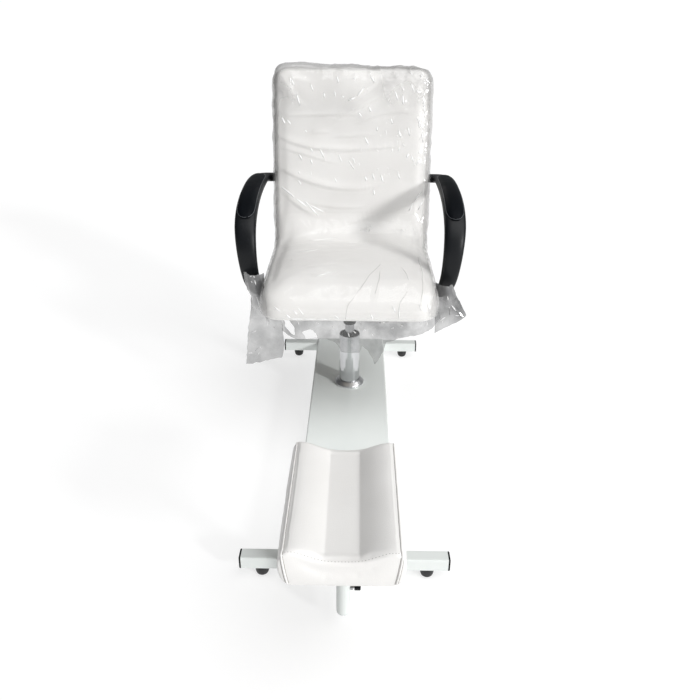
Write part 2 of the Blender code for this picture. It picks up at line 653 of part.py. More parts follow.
# Steel angles that tie the back board to the underside of the seat board.
leg_z = SEAT_HEIGHT - 2 * GAP - ANGLE_SHEET / 2
leg_x = TRAY_HALF_X + TRAY_FLANGE + ANGLE_WIDTH / 2 + 0.016
for side, sign in (("left", -1), ("right", 1)):
    line = []
    for back, up in ((-1.0, 0.0), (-0.099, 0.0), (-0.028, 0.018), (0.013, 0.063)):
        line.append(Vector((0.0, BACK_FOOT.y + back * ANGLE_LEG, leg_z + up * ANGLE_LEG)))
    for up in (-0.113, 0.085):
        line.append(on_back(0.0, up * ANGLE_LEG, -BOARD / 2 - GAP - ANGLE_SHEET / 2))
    rings = []
    for i, point in enumerate(line):
        along = (line[min(i + 1, len(line) - 1)] - line[max(i - 1, 0)]).normalized()
        normal = Vector((0.0, -along.z, along.y)) * ANGLE_SHEET / 2
        across = Vector((ANGLE_WIDTH / 2, 0.0, 0.0))
        centre = point + Vector((sign * leg_x, 0.0, 0.0))
        rings.append([centre - across - normal, centre + across - normal])
        rings[-1] += [centre + across + normal, centre - across + normal]
    place("back_angle_" + side, loft(rings), STEEL, 0.5, 0.45, on=SEAT)

# Loop arms: rows of (across, along, up, width, thickness) from the back's side to under the seat.
arm_x = SEAT_HALF_WIDTH + ARM_STANDOFF
arm_top = SEAT_HEIGHT + ARM_HEIGHT
join_z = SEAT_HEIGHT + ARM_JOIN
join_y = BACK_FOOT.y + (join_z - BACK_FOOT.z) * math.tan(BACK_LEAN)
foot_z = SEAT_HEIGHT - 2 * GAP - ARM_FOOT / 2
drop = arm_top - foot_z
ARM_PATH = [
    (BACK_HALF_WIDTH + 0.0004, join_y, join_z, 0.69, 0.83),
    (BACK_HALF_WIDTH + 0.0150, join_y, join_z, 0.70, 0.83),
    (arm_x - 0.0145, join_y - 0.0135, join_z + 0.0025, 0.75, 0.87),
    (arm_x - 0.0050, join_y - 0.0465, join_z + 0.0057, 0.84, 0.90),
    (arm_x - 0.0023, ARM_FRONT + 0.305, arm_top, 0.94, 0.93),
    (arm_x - 0.0010, ARM_FRONT + 0.230, arm_top - 0.0005, 0.98, 0.97),
    (arm_x, ARM_FRONT + 0.150, arm_top - 0.034 * drop, 1.0, 1.0),
    (arm_x, ARM_FRONT + 0.080, arm_top - 0.104 * drop, 1.0, 1.0),
    (arm_x - 0.0010, ARM_FRONT + 0.029, arm_top - 0.221 * drop, 0.97, 1.0),
    (arm_x - 0.0040, ARM_FRONT + 0.004, arm_top - 0.383 * drop, 0.91, 0.97),
    (arm_x - 0.0075, ARM_FRONT, arm_top - 0.563 * drop, 0.84, 0.93),
    (arm_x - 0.0120, ARM_FRONT + 0.011, arm_top - 0.736 * drop, 0.78, 0.90),
    (arm_x - 0.0190, ARM_FRONT + 0.035, arm_top - 0.869 * drop, 0.73, 0.83),
    (SEAT_HALF_WIDTH + 0.018, ARM_FRONT + 0.071, arm_top - 0.982 * drop, 0.72, 0.73),
    (SEAT_HALF_WIDTH - 0.014, ARM_FRONT + 0.113, foot_z - 0.001, 0.72, ARM_FOOT / ARM_THICKNESS),
    (SEAT_HALF_WIDTH - 0.033, ARM_FRONT + 0.155, foot_z, 0.72, ARM_FOOT / ARM_THICKNESS),
    (SEAT_HALF_WIDTH - 0.037, ARM_FRONT + 0.195, foot_z, 0.69, ARM_FOOT / ARM_THICKNESS),
]
ARM_STEPS = 3
ARM_SECTION = 14
PAD_FROM = 9
PAD_TO = 23


def arm_point(t):
    """Smooth value of the arm's rows at a fractional row."""
    i = min(int(t), len(ARM_PATH) - 2)
    u = t - i
    rows = [ARM_PATH[min(max(i + k, 0), len(ARM_PATH) - 1)] for k in (-1, 0, 1, 2)]
    value = []
    for a, b, c, d in zip(*rows):
        bent = (2 * a - 5 * b + 4 * c - d) * u**2 + (3 * b - a - 3 * c + d) * u**3
        value.append(b + 0.5 * ((c - a) * u + bent))
    return value


def arm_frame(t, sign):
    """Centre, width direction, outward normal, width and thickness of the arm at a row."""
    x, y, z, width, thick = arm_point(t)
    ahead = Vector(arm_point(min(t + 0.02, len(ARM_PATH) - 1))[:3])
    behind = Vector(arm_point(max(t - 0.02, 0.0))[:3])
    along = (ahead - behind).normalized() if t > 0.0 else Vector((1.0, 0.0, 0.0))
    # The width lies along Y where the arm leaves the back, and turns to X on its upper run.
    turn = min(max(t - 1.0, 0.0) / 2.0, 1.0) * math.pi / 2
    across = Vector((math.sin(turn), math.cos(turn), 0.0))
    across = (across - along * across.dot(along)).normalized()
    normal = along.cross(across)
    frame = [Vector((x, y, z)), across, normal]
    if sign < 0:
        frame = [Vector((-v.x, v.y, v.z)) for v in frame]
    return frame + [width * ARM_WIDTH, thick * ARM_THICKNESS]


stations = (len(ARM_PATH) - 1) * ARM_STEPS + 1
bolts = ((SEAT_HALF_WIDTH - 0.032, ARM_FRONT + 0.147), (SEAT_HALF_WIDTH - 0.036, ARM_FRONT + 0.179))
foot_low = foot_z - ARM_FOOT / 2
for side, sign in (("left", -1), ("right", 1)):
    rings = []
    for i in range(stations):
        centre, across, normal, width, thick = arm_frame(i / ARM_STEPS, sign)
        points = []
        for j in range(ARM_SECTION):
            a = 2 * math.pi * j / ARM_SECTION
            c, s = math.cos(a), math.sin(a)
            q = math.copysign(abs(c) ** 0.7, c) * width / 2
            h = math.copysign(abs(s) ** 0.7, s) * thick / 2
            points.append(centre + across * q + normal * h)
        rings.append(points)
    arm = place("arm_" + side, loft(rings), BLACK, 0.0, 0.4, on=SEAT)
    # Soft pad on the upper run of the arm.
    rings = []
    steps = PAD_TO - PAD_FROM
    for i in range(steps + 1):
        centre, across, normal, width, thick = arm_frame((PAD_FROM + i) / ARM_STEPS, sign)
        end = min(1.0, min(i, steps - i) / steps / 0.12)
        taper = math.sqrt(max(0.0, 1.0 - (1.0 - end) ** 2))
        half_pad = (width / 2 - 0.006) * (0.45 + 0.55 * taper)
        rise = ARM_PAD * (0.5 + 0.5 * taper)
        under, over = [], []
        for j in range(7):
            q = half_pad * (-1.0 + j / 3)
            base = thick / 2 * (1.0 - abs(2 * q / width) ** 2.857) ** 0.35 + 0.0008
            bulge = rise * (1.0 - 0.75 * abs(q / half_pad) ** 4)
            under.append(centre + across * q + normal * base)
            over.append(centre + across * q + normal * (base + bulge))
        rings.append(under + list(reversed(over)))
    place("arm_pad_" + side, loft(rings), BLACK, 0.0, 0.55, on=SEAT)
    # Two bolts hold the foot of each arm to the seat board.
    for number, (bolt_x, bolt_y) in enumerate(bolts, 1):
        spot = (sign * bolt_x, bolt_y, 0.0)
        bolt_top = SEAT_HEIGHT + 0.58 * BOARD
        bolt = [
            (0.0, foot_low - 0.0072),
            (0.0062, foot_low - 0.0072),
            (0.0065, foot_low - 0.0066),
            (0.0065, foot_low - 0.0012),
            (SCREW_RADIUS, foot_low - 0.0012),
            (SCREW_RADIUS, bolt_top),
            (0.0, bolt_top),
        ]
        bolt = turned(bolt, 12, "Z", spot)
        place(f"arm_bolt_{side}_{number}", bolt, STEEL, 0.8, 0.35, on=SEAT)
        hole = (SCREW_RADIUS + 0.0004, foot_low - 0.02, bolt_top + 0.0005, 12, "Z", spot)
        cut(arm, rod(*hole))
        cut(seat_board, rod(*hole))

# Footrest bar, sleeve with its domed end plug, clamp nut, clamp screw and knob.
at_post = (0.0, POST_Y, 0.0)
at_clamp = (0.0, POST_Y, CLAMP_Z)
half = FOOTREST_BAR / 2
low = (-half, POST_Y, TUBE_MIDDLE + 0.004 - half)
high = (half, FRONT_TUBE_Y - TUBE / 2 - GAP, TUBE_MIDDLE + 0.004 + half)
bar = place("footrest_bar", square_tube(low, high, 0.002, 0.003, 1), WHITE_PAINT, 0.0, 0.35)
cut(bar, rod(POST_SLEEVE_RADIUS + GAP, 0.0, TUBE_HIGH + 0.05, 28, "Z", at_post))
sleeve_bore = POST_SLEEVE_RADIUS - POST_SLEEVE_WALL
sleeve_top = POST_SLEEVE_BOTTOM + POST_SLEEVE_LENGTH
sleeve = pipe(sleeve_bore, POST_SLEEVE_RADIUS, POST_SLEEVE_BOTTOM, sleeve_top, 28, "Z", at_post)
sleeve = place("footrest_sleeve", sleeve, WHITE_PAINT, 0.0, 0.35)
cut(sleeve, rod(SCREW_RADIUS + GAP, sleeve_bore - 0.003, POST_SLEEVE_RADIUS + 0.005, 16, "X", at_clamp))
plug_rim = POST_SLEEVE_BOTTOM - GAP
plug = [(0.0, plug_rim - 0.76 * POST_SLEEVE_RADIUS)]
for share, depth in ((0.345, 0.71), (0.655, 0.55), (0.883, 0.29), (1.0, 0.0)):
    plug.append((share * POST_SLEEVE_RADIUS, plug_rim - depth * POST_SLEEVE_RADIUS))
plug_top = POST_BOTTOM - 0.001
plug += [(sleeve_bore - GAP, plug_rim), (sleeve_bore - GAP, plug_top), (0.0, plug_top)]
place("sleeve_end_plug", turned(plug, 28, "Z", at_post), WHITE_PAINT, 0.0, 0.4)
nut_from = POST_SLEEVE_RADIUS + GAP
nut = pipe(SCREW_RADIUS + GAP, SCREW_RADIUS + 0.0032, nut_from, nut_from + 0.005, 16, "X", at_clamp)
place("clamp_nut", nut, STEEL, 0.8, 0.35)
screw_end = nut_from + 0.0152
screw = rod(SCREW_RADIUS, POST_RADIUS + GAP, screw_end, 16, "X", at_clamp)
place("clamp_screw", screw, STEEL, 0.8, 0.35, on=CLAMP)
knob = [
    (0.0, screw_end + GAP),
    (SCREW_RADIUS + GAP, screw_end + GAP),
    (SCREW_RADIUS + GAP, screw_end - 0.0075),
    (CLAMP_KNOB_RADIUS - 0.0008, screw_end - 0.0075),
    (CLAMP_KNOB_RADIUS, screw_end - 0.0065),
    (CLAMP_KNOB_RADIUS, screw_end + 0.0035),
    (CLAMP_KNOB_RADIUS - 0.0012, screw_end + 0.0052),
    (0.0, screw_end + 0.0058),
]
place("clamp_knob", turned(knob, 16, "X", at_clamp), BLACK, 0.0, 0.5, on=CLAMP)

# Post with a fork on its head, which slides in the sleeve.
at_tilt = (0.0, POST_Y, TILT_Z)
fork_base = TILT_Z - 0.024
post = pipe(POST_RADIUS - POST_WALL, POST_RADIUS, POST_BOTTOM, fork_base - GAP, 28, "Z", at_post)
place("footrest_post", post, CHROME, 1.0, 0.1, on=POST)
fork = channel(FORK_HALF, EAR, fork_base, TILT_Z + 0.010, FORK_DEPTH)
fork = place("post_fork", fork, STEEL, 0.6, 0.4, on=POST)

# Tilting head: bracket, through bolt and the knob that locks it.
head_half = FORK_HALF + EAR + GAP
head = channel(head_half, EAR, FOOT_BOARD_LOW - GAP, TILT_Z - 0.011, FORK_DEPTH + 0.001)
head = place("head_bracket", head, STEEL, 0.6, 0.4, on=HEAD)
for piece in (fork, head):
    cut(piece, rod(SCREW_RADIUS + GAP, -head_half - 0.01, head_half + 0.01, 16, "X", at_tilt))
ear_out = head_half + GAP
bolt_end = ear_out + 0.012
bolt = [
    (0.0, -ear_out - 0.0045),
    (0.0055, -ear_out - 0.0045),
    (0.0060, -ear_out - 0.0040),
    (0.0060, -ear_out),
    (SCREW_RADIUS, -ear_out),
    (SCREW_RADIUS, bolt_end),
    (0.0, bolt_end),
]
place("tilt_bolt", turned(bolt, 16, "X", at_tilt), STEEL, 0.8, 0.35, on=POST)
knob = [
    (0.0, bolt_end + GAP),
    (SCREW_RADIUS + GAP, bolt_end + GAP),
    (SCREW_RADIUS + GAP, ear_out),
    (0.53 * TILT_KNOB_RADIUS, ear_out),
    (0.93 * TILT_KNOB_RADIUS, ear_out + 0.006),
    (TILT_KNOB_RADIUS, ear_out + 0.009),
    (TILT_KNOB_RADIUS, ear_out + 0.017),
    (0.87 * TILT_KNOB_RADIUS, ear_out + 0.019),
    (0.0, ear_out + 0.0195),
]
place("tilt_knob", turned(knob, 20, "X", at_tilt), BLACK, 0.0, 0.5, on=TILT_KNOB)

# Footrest board and its channelled pad. The section is (across, up) in shares of the pad's sizes.
low = (0.0265 - PAD_HALF_WIDTH, PAD_Y - PAD_HALF_LENGTH + 0.018, FOOT_BOARD_LOW)
high = (PAD_HALF_WIDTH - 0.0265, PAD_Y + PAD_HALF_LENGTH - 0.018, PAD_BOTTOM - GAP)
place("footrest_board", rounded_box(low, high, 0.012, 2), WOOD, 0.0, 0.6, on=HEAD)
dip = 1.0 - PAD_CHANNEL / PAD_HEIGHT
PAD_SECTION = [
    (0.000, 0.000),
    (0.560, 0.000),
    (0.830, 0.013),
    (0.908, 0.079),
    (0.965, 0.237),
    (1.000, 0.475),
    (1.000, 0.686),
    (0.974, 0.858),
    (0.934, 0.943),
    (0.886, 0.989),
    (0.812, 1.000),
]
slope = ((0.699, 0.11), (0.550, 0.395), (0.402, 0.705), (0.279, 0.895), (0.140, 0.981), (0.0, 1.0))
for across, fall in slope:
    PAD_SECTION.append((across, 1.0 - fall * (1.0 - dip)))
# Stations along the pad: (along, how far the ends draw in, how far the lower edge lifts).
PAD_STATIONS = [(-1.021, 0.20, 0.13), (-1.020, 0.09, 0.08), (-1.018, 0.04, 0.026), (-1.0, 0.013, 0.0)]
PAD_STATIONS += [(share, 0.0, 0.0) for share in (-0.96, -0.8, -0.5, -0.2, 0.2, 0.5, 0.8, 0.96)]
PAD_STATIONS += [(1.0, 0.02, 0.0), (1.016, 0.066, 0.04), (1.020, 0.16, 0.105)]
rings = []
for along, fall, lift in PAD_STATIONS:
    y = PAD_Y + along * PAD_HALF_LENGTH
    right = []
    for across, up in PAD_SECTION:
        level = PAD_BOTTOM + PAD_HEIGHT * max(max(up, lift) - fall * up, 0.0)
        right.append((across * PAD_HALF_WIDTH * (1.0 - 0.167 * fall), y, level))
    rings.append(right + [(-x, y, z) for x, y, z in reversed(right[1:-1])])
place("footrest_pad", loft(rings), LEATHER, 0.0, 0.45, on=HEAD)

# Loose ends of the protective film that wraps the upholstery. Rows of (left, right, along, up), as
# shares of the drop from the seat's side, the arms' front and the seat board.
LEFT_TAIL = [
    (-0.313, -0.121, 0.000, 0.401),
    (-0.297, 0.000, -0.016, 0.209),
    (-0.297, 0.000, -0.044, -0.011),
    (-0.313, 0.137, -0.066, -0.137),
    (-0.324, 0.275, -0.093, -0.341),
    (-0.335, 0.291, -0.115, -0.670),
    (-0.346, 0.291, -0.137, -1.000),
]
RIGHT_TAIL = [
    (0.077, 0.330, 0.000, 0.319),
    (0.000, 0.390, -0.016, 0.209),
    (0.066, 0.456, -0.049, -0.038),
    (0.148, 0.473, -0.077, -0.203),
    (0.154, 0.330, -0.099, -0.341),
]
SKIRT = [
    (-0.687, 1.187, 0.000, 0.000),
    (-0.604, 1.264, -0.011, -0.148),
    (-0.330, 1.236, -0.022, -0.286),
    (0.110, 0.769, -0.027, -0.407),
    (0.275, 0.538, -0.033, -0.615),
    (0.363, 0.429, -0.038, -0.863),
]
by_seat = SEAT_HALF_WIDTH + 0.0004
tail_y = ARM_FRONT - 0.035
for name, rows, x, y, wave, columns in (
    ("film_tail_left", LEFT_TAIL, -by_seat, tail_y, 0.027, 10),
    ("film_tail_right", RIGHT_TAIL, by_seat, tail_y, 0.022, 8),
    ("film_skirt", SKIRT, 0.0, SEAT_FRONT + 0.045, 0.022, 14),
):
    hung = []
    for left, right, along, up in rows:
        level = SEAT_HEIGHT - GAP + up * FILM_DROP
        hung.append((x + left * FILM_DROP, x + right * FILM_DROP, y + along * FILM_DROP, level))
    place(name, film(hung, wave * FILM_DROP, columns), FILM, 0.0, 0.3, on=SEAT)
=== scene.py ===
# Pedicure chair, dressed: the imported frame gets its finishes, its upholstery and the clear film
# that it was shipped in. Metres, in the frame's own axes: +Z up, the seat faces -Y.
import math

import bmesh
import bpy
import numpy as np
from mathutils import Matrix, Vector, noise
from mathutils.bvhtree import BVHTree


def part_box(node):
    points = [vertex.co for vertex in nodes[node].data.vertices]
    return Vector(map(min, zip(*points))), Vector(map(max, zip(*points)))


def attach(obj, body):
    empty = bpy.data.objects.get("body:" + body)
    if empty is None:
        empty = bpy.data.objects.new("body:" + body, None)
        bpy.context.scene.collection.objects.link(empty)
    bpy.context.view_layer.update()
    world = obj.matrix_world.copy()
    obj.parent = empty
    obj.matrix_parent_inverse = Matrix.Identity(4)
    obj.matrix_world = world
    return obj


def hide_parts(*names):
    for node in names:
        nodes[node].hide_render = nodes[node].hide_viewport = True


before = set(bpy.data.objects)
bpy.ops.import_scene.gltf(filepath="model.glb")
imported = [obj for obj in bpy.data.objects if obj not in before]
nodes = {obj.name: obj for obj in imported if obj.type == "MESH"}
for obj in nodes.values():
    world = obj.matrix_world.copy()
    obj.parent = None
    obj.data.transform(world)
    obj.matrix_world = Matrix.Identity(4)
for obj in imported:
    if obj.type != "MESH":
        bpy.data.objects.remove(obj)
scene = bpy.context.scene
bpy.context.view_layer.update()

# Camera: where the photograph was taken from, in front of the footrest at eye height and
# looking down on the chair. The lens is a short standard one with no shift.
EYE = Vector((0.0203, -1.6528, 1.181))
LENS = 36.304
pitch, yaw, roll = (math.radians(angle) for angle in (27.0, -0.546, 0.404))
ahead = Vector((math.sin(yaw) * math.cos(pitch), math.cos(yaw) * math.cos(pitch), -math.sin(pitch)))
level = Vector((math.cos(yaw), -math.sin(yaw), 0.0))
below = ahead.cross(level)
across = level * math.cos(roll) - below * math.sin(roll)
down = level * math.sin(roll) + below * math.cos(roll)
lens = bpy.data.cameras.new("camera")
lens.lens = LENS
lens.sensor_width = 36.0
camera = bpy.data.objects.new("camera", lens)
camera.matrix_world = Matrix.Translation(EYE) @ Matrix((across, -down, -ahead)).transposed().to_4x4()
scene.collection.objects.link(camera)
scene.camera = camera

# Studio: a white floor, a white room that darkens to the sides, more so on the left, a soft key
# light low on the right and a broad light overhead.
scene.view_settings.view_transform = "Standard"
room = bpy.data.worlds.new("room")
room.use_nodes = True
scene.world = room


def add(tree, kind, values=(), links=(), **settings):
    """Adds a shader node, with its settings, its input values and what feeds its inputs."""
    made = tree.nodes.new(kind)
    for key, value in settings.items():
        setattr(made, key, value)
    for key, value in dict(values).items():
        made.inputs[key].default_value = value
    for key, source in dict(links).items():
        tree.links.new(source, made.inputs[key])
    return made


air = room.node_tree
facing = add(air, "ShaderNodeSeparateXYZ", links={"Vector": air.nodes.new("ShaderNodeTexCoord").outputs["Generated"]})
sideways = add(air, "ShaderNodeMath", {1: 0.5, 2: 0.5}, {0: facing.outputs["X"]}, operation="MULTIPLY_ADD")
shade = add(air, "ShaderNodeValToRGB", links={"Fac": sideways.outputs[0]})
WALLS = ((0.0, 0.10), (0.22, 0.45), (0.36, 1.0), (0.80, 1.0), (0.95, 0.30))
for position, grey in WALLS[1:-1]:
    shade.color_ramp.elements.new(position)
for element, (position, grey) in zip(shade.color_ramp.elements, WALLS):
    element.position = position
    element.color = (grey, grey * 1.01, grey * 1.02, 1.0)
air.links.new(shade.outputs["Color"], air.nodes["Background"].inputs["Color"])
air.nodes["Background"].inputs["Strength"].default_value = 0.28


def lamp(name, towards, strength, width):
    """A distant soft light from a direction, with its width as an angle."""
    light = bpy.data.lights.new(name, "SUN")
    light.energy = strength
    light.angle = math.radians(width)
    obj = bpy.data.objects.new(name, light)
    obj.rotation_euler = Vector(towards).to_track_quat("Z", "Y").to_euler()
    scene.collection.objects.link(obj)


lamp("key", (0.72, -0.62, 0.32), 1.72, 7.0)
lamp("softbox", (0.40, -0.24, 0.885), 1.95, 60.0)

bm = bmesh.new()
bmesh.ops.create_grid(bm, x_segments=8, y_segments=8, size=400.0)
mesh = bpy.data.meshes.new("floor")
bm.to_mesh(mesh)
bm.free()
floor = bpy.data.objects.new("floor", mesh)
scene.collection.objects.link(floor)


def finish(name, dark, light, rough, patch, grain, depth, metallic=0.0, cells=False, sheen=0.5):
    """A material on object coordinates: two close colours in soft patches of a scale, roughness
    between two values, a fine relief of a grain's scale and a depth in metres, and a gloss level."""
    material = bpy.data.materials.new(name)
    material.use_nodes = True
    tree = material.node_tree
    shader = tree.nodes["Principled BSDF"]
    shader.inputs["Metallic"].default_value = metallic
    shader.inputs["Specular IOR Level"].default_value = sheen
    where = tree.nodes.new("ShaderNodeTexCoord").outputs["Object"]
    patches = add(tree, "ShaderNodeTexNoise", {"Scale": patch, "Detail": 4.0}, {"Vector": where}, name="patches")
    tint = add(tree, "ShaderNodeValToRGB", links={"Fac": patches.outputs["Fac"]})
    for element, position, colour in zip(tint.color_ramp.elements, (0.3, 0.7), (dark, light)):
        element.position = position
        element.color = (*colour, 1.0)
    tree.links.new(tint.outputs["Color"], shader.inputs["Base Color"])
    gloss = add(tree, "ShaderNodeMapRange", {"From Min": 0.3, "From Max": 0.7}, {"Value": patches.outputs["Fac"]})
    gloss.inputs["To Min"].default_value, gloss.inputs["To Max"].default_value = rough
    tree.links.new(gloss.outputs["Result"], shader.inputs["Roughness"])
    if cells:
        pores = add(tree, "ShaderNodeTexVoronoi", {"Scale": grain}, {"Vector": where})
        height = pores.outputs["Distance"]
    else:
        fine = add(tree, "ShaderNodeTexNoise", {"Scale": grain, "Detail": 3.0}, {"Vector": where}, name="grain")
        height = fine.outputs["Fac"]
    bump = add(tree, "ShaderNodeBump", {"Strength": 1.0, "Distance": depth}, {"Height": height})
    tree.links.new(bump.outputs["Normal"], shader.inputs["Normal"])
    return material


floor.data.materials.append(
    finish("floor_paint", (0.36, 0.36, 0.36), (0.38, 0.38, 0.38), (0.7, 0.8), 1.5, 60.0, 0.0002)
)
glow = floor.data.materials[0].node_tree.nodes["Principled BSDF"]
glow.inputs["Emission Color"].default_value = (1.0, 1.0, 1.0, 1.0)
glow.inputs["Emission Strength"].default_value = 0.67

# Base: square steel tubes and beams, a folded sheet cover and the footrest's bar and sleeve.
# The frame is welded, then powder coated in a cool satin white with a faint orange peel. The
# cover gets a glossier copy of that coat, a little whiter: the extra white is painted light,
# brightening the cover where the seat above shades it.


def dress(material, *names):
    """Gives carried-over nodes a finish."""
    for name in names:
        nodes[name].material_slots[0].material = material


powder_coat = finish(
    "white_powder_coat", (0.74, 0.775, 0.755), (0.77, 0.80, 0.785), (0.30, 0.36), 14.0, 700.0, 0.00006
)
# Whiter than the frame's coat: painted light against the seat's shade on the cover.
brightened_cover_coat = finish(
    "brightened_white_cover_coat", (0.91, 0.95, 0.93), (0.93, 0.97, 0.95), (0.17, 0.22), 14.0, 700.0, 0.00006, sheen=0.8
)
dress(
    powder_coat, "rear_cross_tube", "front_cross_tube", "spine_beam_left", "spine_beam_right",
    "footrest_bar", "footrest_sleeve", "sleeve_end_plug",
)
dress(brightened_cover_coat, "spine_cover")

# End caps and feet: moulded black plastic plugs in the tubes' ends, and domed rubber bumpers
# screwed up into the tubes from below.
satin_black = finish(
    "satin_black_plastic", (0.0022, 0.0030, 0.0044), (0.0034, 0.0045, 0.0062), (0.27, 0.33), 30.0, 1600.0, 0.00004,
    sheen=0.20,
)
bumper_rubber = finish(
    "bumper_rubber", (0.010, 0.010, 0.011), (0.022, 0.022, 0.023), (0.45, 0.65), 40.0, 900.0, 0.00010
)
for row in ("front", "rear"):
    for side in ("left", "right"):
        dress(satin_black, f"{row}_end_cap_{side}")
        dress(bumper_rubber, f"{row}_foot_{side}")

# Column: a chromed sleeve and a spun collar round the gas lift, with the plain lift inside.
# The plating is bright, with only a faint haze from handling.
chrome_plate = finish(
    "chrome_plate", (0.56, 0.57, 0.58), (0.64, 0.65, 0.66), (0.05, 0.10), 22.0, 160.0, 0.00002, 1.0
)
zinc_plate = finish(
    "zinc_plated_steel", (0.38, 0.39, 0.40), (0.52, 0.52, 0.52), (0.26, 0.42), 60.0, 1200.0, 0.00004, 1.0
)
lift_steel = finish(
    "ground_lift_steel", (0.42, 0.42, 0.43), (0.50, 0.50, 0.51), (0.14, 0.24), 40.0, 1500.0, 0.00002, 1.0
)
spun_steel = finish(
    "spun_collar_steel", (0.72, 0.73, 0.74), (0.80, 0.80, 0.81), (0.30, 0.38), 30.0, 900.0, 0.00002, 1.0
)
dress(chrome_plate, "column_sleeve", "footrest_post")
dress(spun_steel, "column_collar")
dress(lift_steel, "lift_piston", "lift_release_pin")
dress(satin_black, "lift_guide_bush")
dress(zinc_plate, "lift_cylinder", "lift_hub_plate", "lift_hub_tube")

# Mechanism: a pressed steel tray and socket in black enamel, and the lift lever with its grip.
# The angles that carry the back are painted with them.
black_enamel = finish(
    "black_enamel", (0.012, 0.012, 0.013), (0.028, 0.028, 0.030), (0.28, 0.42), 26.0, 500.0, 0.00008
)
dress(black_enamel, "mechanism_tray", "piston_socket", "back_angle_left", "back_angle_right")
dress(zinc_plate, "lever_rod", "lever_axle")
dress(satin_black, "lever_grip")

# Boards: raw plywood under the seat, in the back and under the footrest, with long grain and
# darker pores.
plywood = bpy.data.materials.new("raw_plywood")
plywood.use_nodes = True
tree = plywood.node_tree
shader = tree.nodes["Principled BSDF"]
where = tree.nodes.new("ShaderNodeTexCoord").outputs["Object"]
drawn = add(tree, "ShaderNodeMapping", {"Scale": (1.0, 0.08, 1.0)}, {"Vector": where})
rings = add(
    tree, "ShaderNodeTexNoise", {"Scale": 55.0, "Detail": 6.0, "Distortion": 0.6}, {"Vector": drawn.outputs["Vector"]}
)
tint = add(tree, "ShaderNodeValToRGB", links={"Fac": rings.outputs["Fac"]})
tint.color_ramp.elements[0].position, tint.color_ramp.elements[1].position = 0.35, 0.65
tint.color_ramp.elements[0].color = (0.26, 0.225, 0.18, 1.0)
tint.color_ramp.elements[1].color = (0.42, 0.37, 0.31, 1.0)
tree.links.new(tint.outputs["Color"], shader.inputs["Base Color"])
shader.inputs["Roughness"].default_value = 0.65
bump = add(tree, "ShaderNodeBump", {"Strength": 1.0, "Distance": 0.0002}, {"Height": rings.outputs["Fac"]})
tree.links.new(bump.outputs["Normal"], shader.inputs["Normal"])
dress(plywood, "seat_board", "back_board", "footrest_board")

# Footrest metalwork: the fork and bracket that let the pad tilt, their bolt, the clamp screw
# and its nut in zinc, and the two moulded knobs.
dress(black_enamel, "post_fork", "head_bracket")
dress(zinc_plate, "tilt_bolt", "clamp_screw", "clamp_nut")
dress(satin_black, "tilt_knob", "clamp_knob")
for side in ("left", "right"):
    dress(zinc_plate, f"arm_bolt_{side}_1", f"arm_bolt_{side}_2")

# Arms: one-piece satin black loops, moulded with a fine texture, and the soft pad let into the
# top of each, with a bead round its edge, made lighter grey than the pad as a painted highlight.
# They are the frame's own solids, smoothed.


def merged(*names):
    """A bmesh of carried-over nodes with their loose triangles joined up."""
    bm = bmesh.new()
    for name in names:
        bm.from_mesh(nodes[name].data)
    bmesh.ops.remove_doubles(bm, verts=bm.verts, dist=0.00001)
    return bm


def piece(name, bm, material, body, slot, *replaced):
    """Makes a smooth piece of a bmesh, puts it on its body and lets it stand for nodes."""
    mesh = bpy.data.meshes.new(name)
    bm.to_mesh(mesh)
    bm.free()
    mesh.shade_smooth()
    mesh.materials.append(material)
    obj = bpy.data.objects.new(name, mesh)
    scene.collection.objects.link(obj)
    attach(obj, body)
    if replaced:
        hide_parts(*replaced)
    return obj


def rounded(obj, levels):
    """Finishes a piece with a subdivision surface."""
    modifier = obj.modifiers.new("round", "SUBSURF")
    modifier.levels = modifier.render_levels = levels


def still(obj):
    """The mesh of an object with its modifiers applied."""
    bpy.context.view_layer.update()
    return bpy.data.meshes.new_from_object(obj.evaluated_get(bpy.context.evaluated_depsgraph_get()))


def welt(name, points, radius, material, body, slot, closed=False):
    """A round cord of a material along points on a piece."""
    curve = bpy.data.curves.new(name, "CURVE")
    curve.dimensions = "3D"
    curve.bevel_depth = radius
    curve.bevel_resolution = 2
    curve.use_fill_caps = True
    spline = curve.splines.new("POLY")
    spline.points.add(len(points) - 1)
    for spot, point in zip(spline.points, points):
        spot.co = (*point, 1.0)
    spline.use_cyclic_u = closed
    drawn = bpy.data.objects.new(name + "_line", curve)
    scene.collection.objects.link(drawn)
    bm = bmesh.new()
    bm.from_mesh(still(drawn))
    bpy.data.objects.remove(drawn, do_unlink=True)
    bmesh.ops.recalc_face_normals(bm, faces=bm.faces)
    return piece(name, bm, material, body, slot)


def rim(bm):
    """A line of points round the border of a pad's top, with its corners eased."""
    top = [max(bm.faces, key=lambda face: face.normal.z)]
    for face in top:
        for edge in face.edges:
            if edge.calc_face_angle(0.0) < 0.6:
                top += [other for other in edge.link_faces if other not in top]
    border = [edge for edge in bm.edges if sum(face in top for face in edge.link_faces) == 1]
    points = [border[0].verts[0]]
    spot, last = border[0].verts[1], border[0]
    while spot is not points[0]:
        points.append(spot)
        last = next(edge for edge in spot.link_edges if edge in border and edge is not last)
        spot = last.other_vert(spot)
    line = []
    for a, b in zip(points, points[1:] + points[:1]):
        count = max(1, round((b.co - a.co).length / 0.004))
        line += [a.co.lerp(b.co, i / count) for i in range(count)]
    for _ in range(14):
        sides = zip(line[-1:] + line[:-1], line, line[1:] + line[:1])
        line = [(before + 2.0 * spot + after) / 4.0 for before, spot, after in sides]
    return line


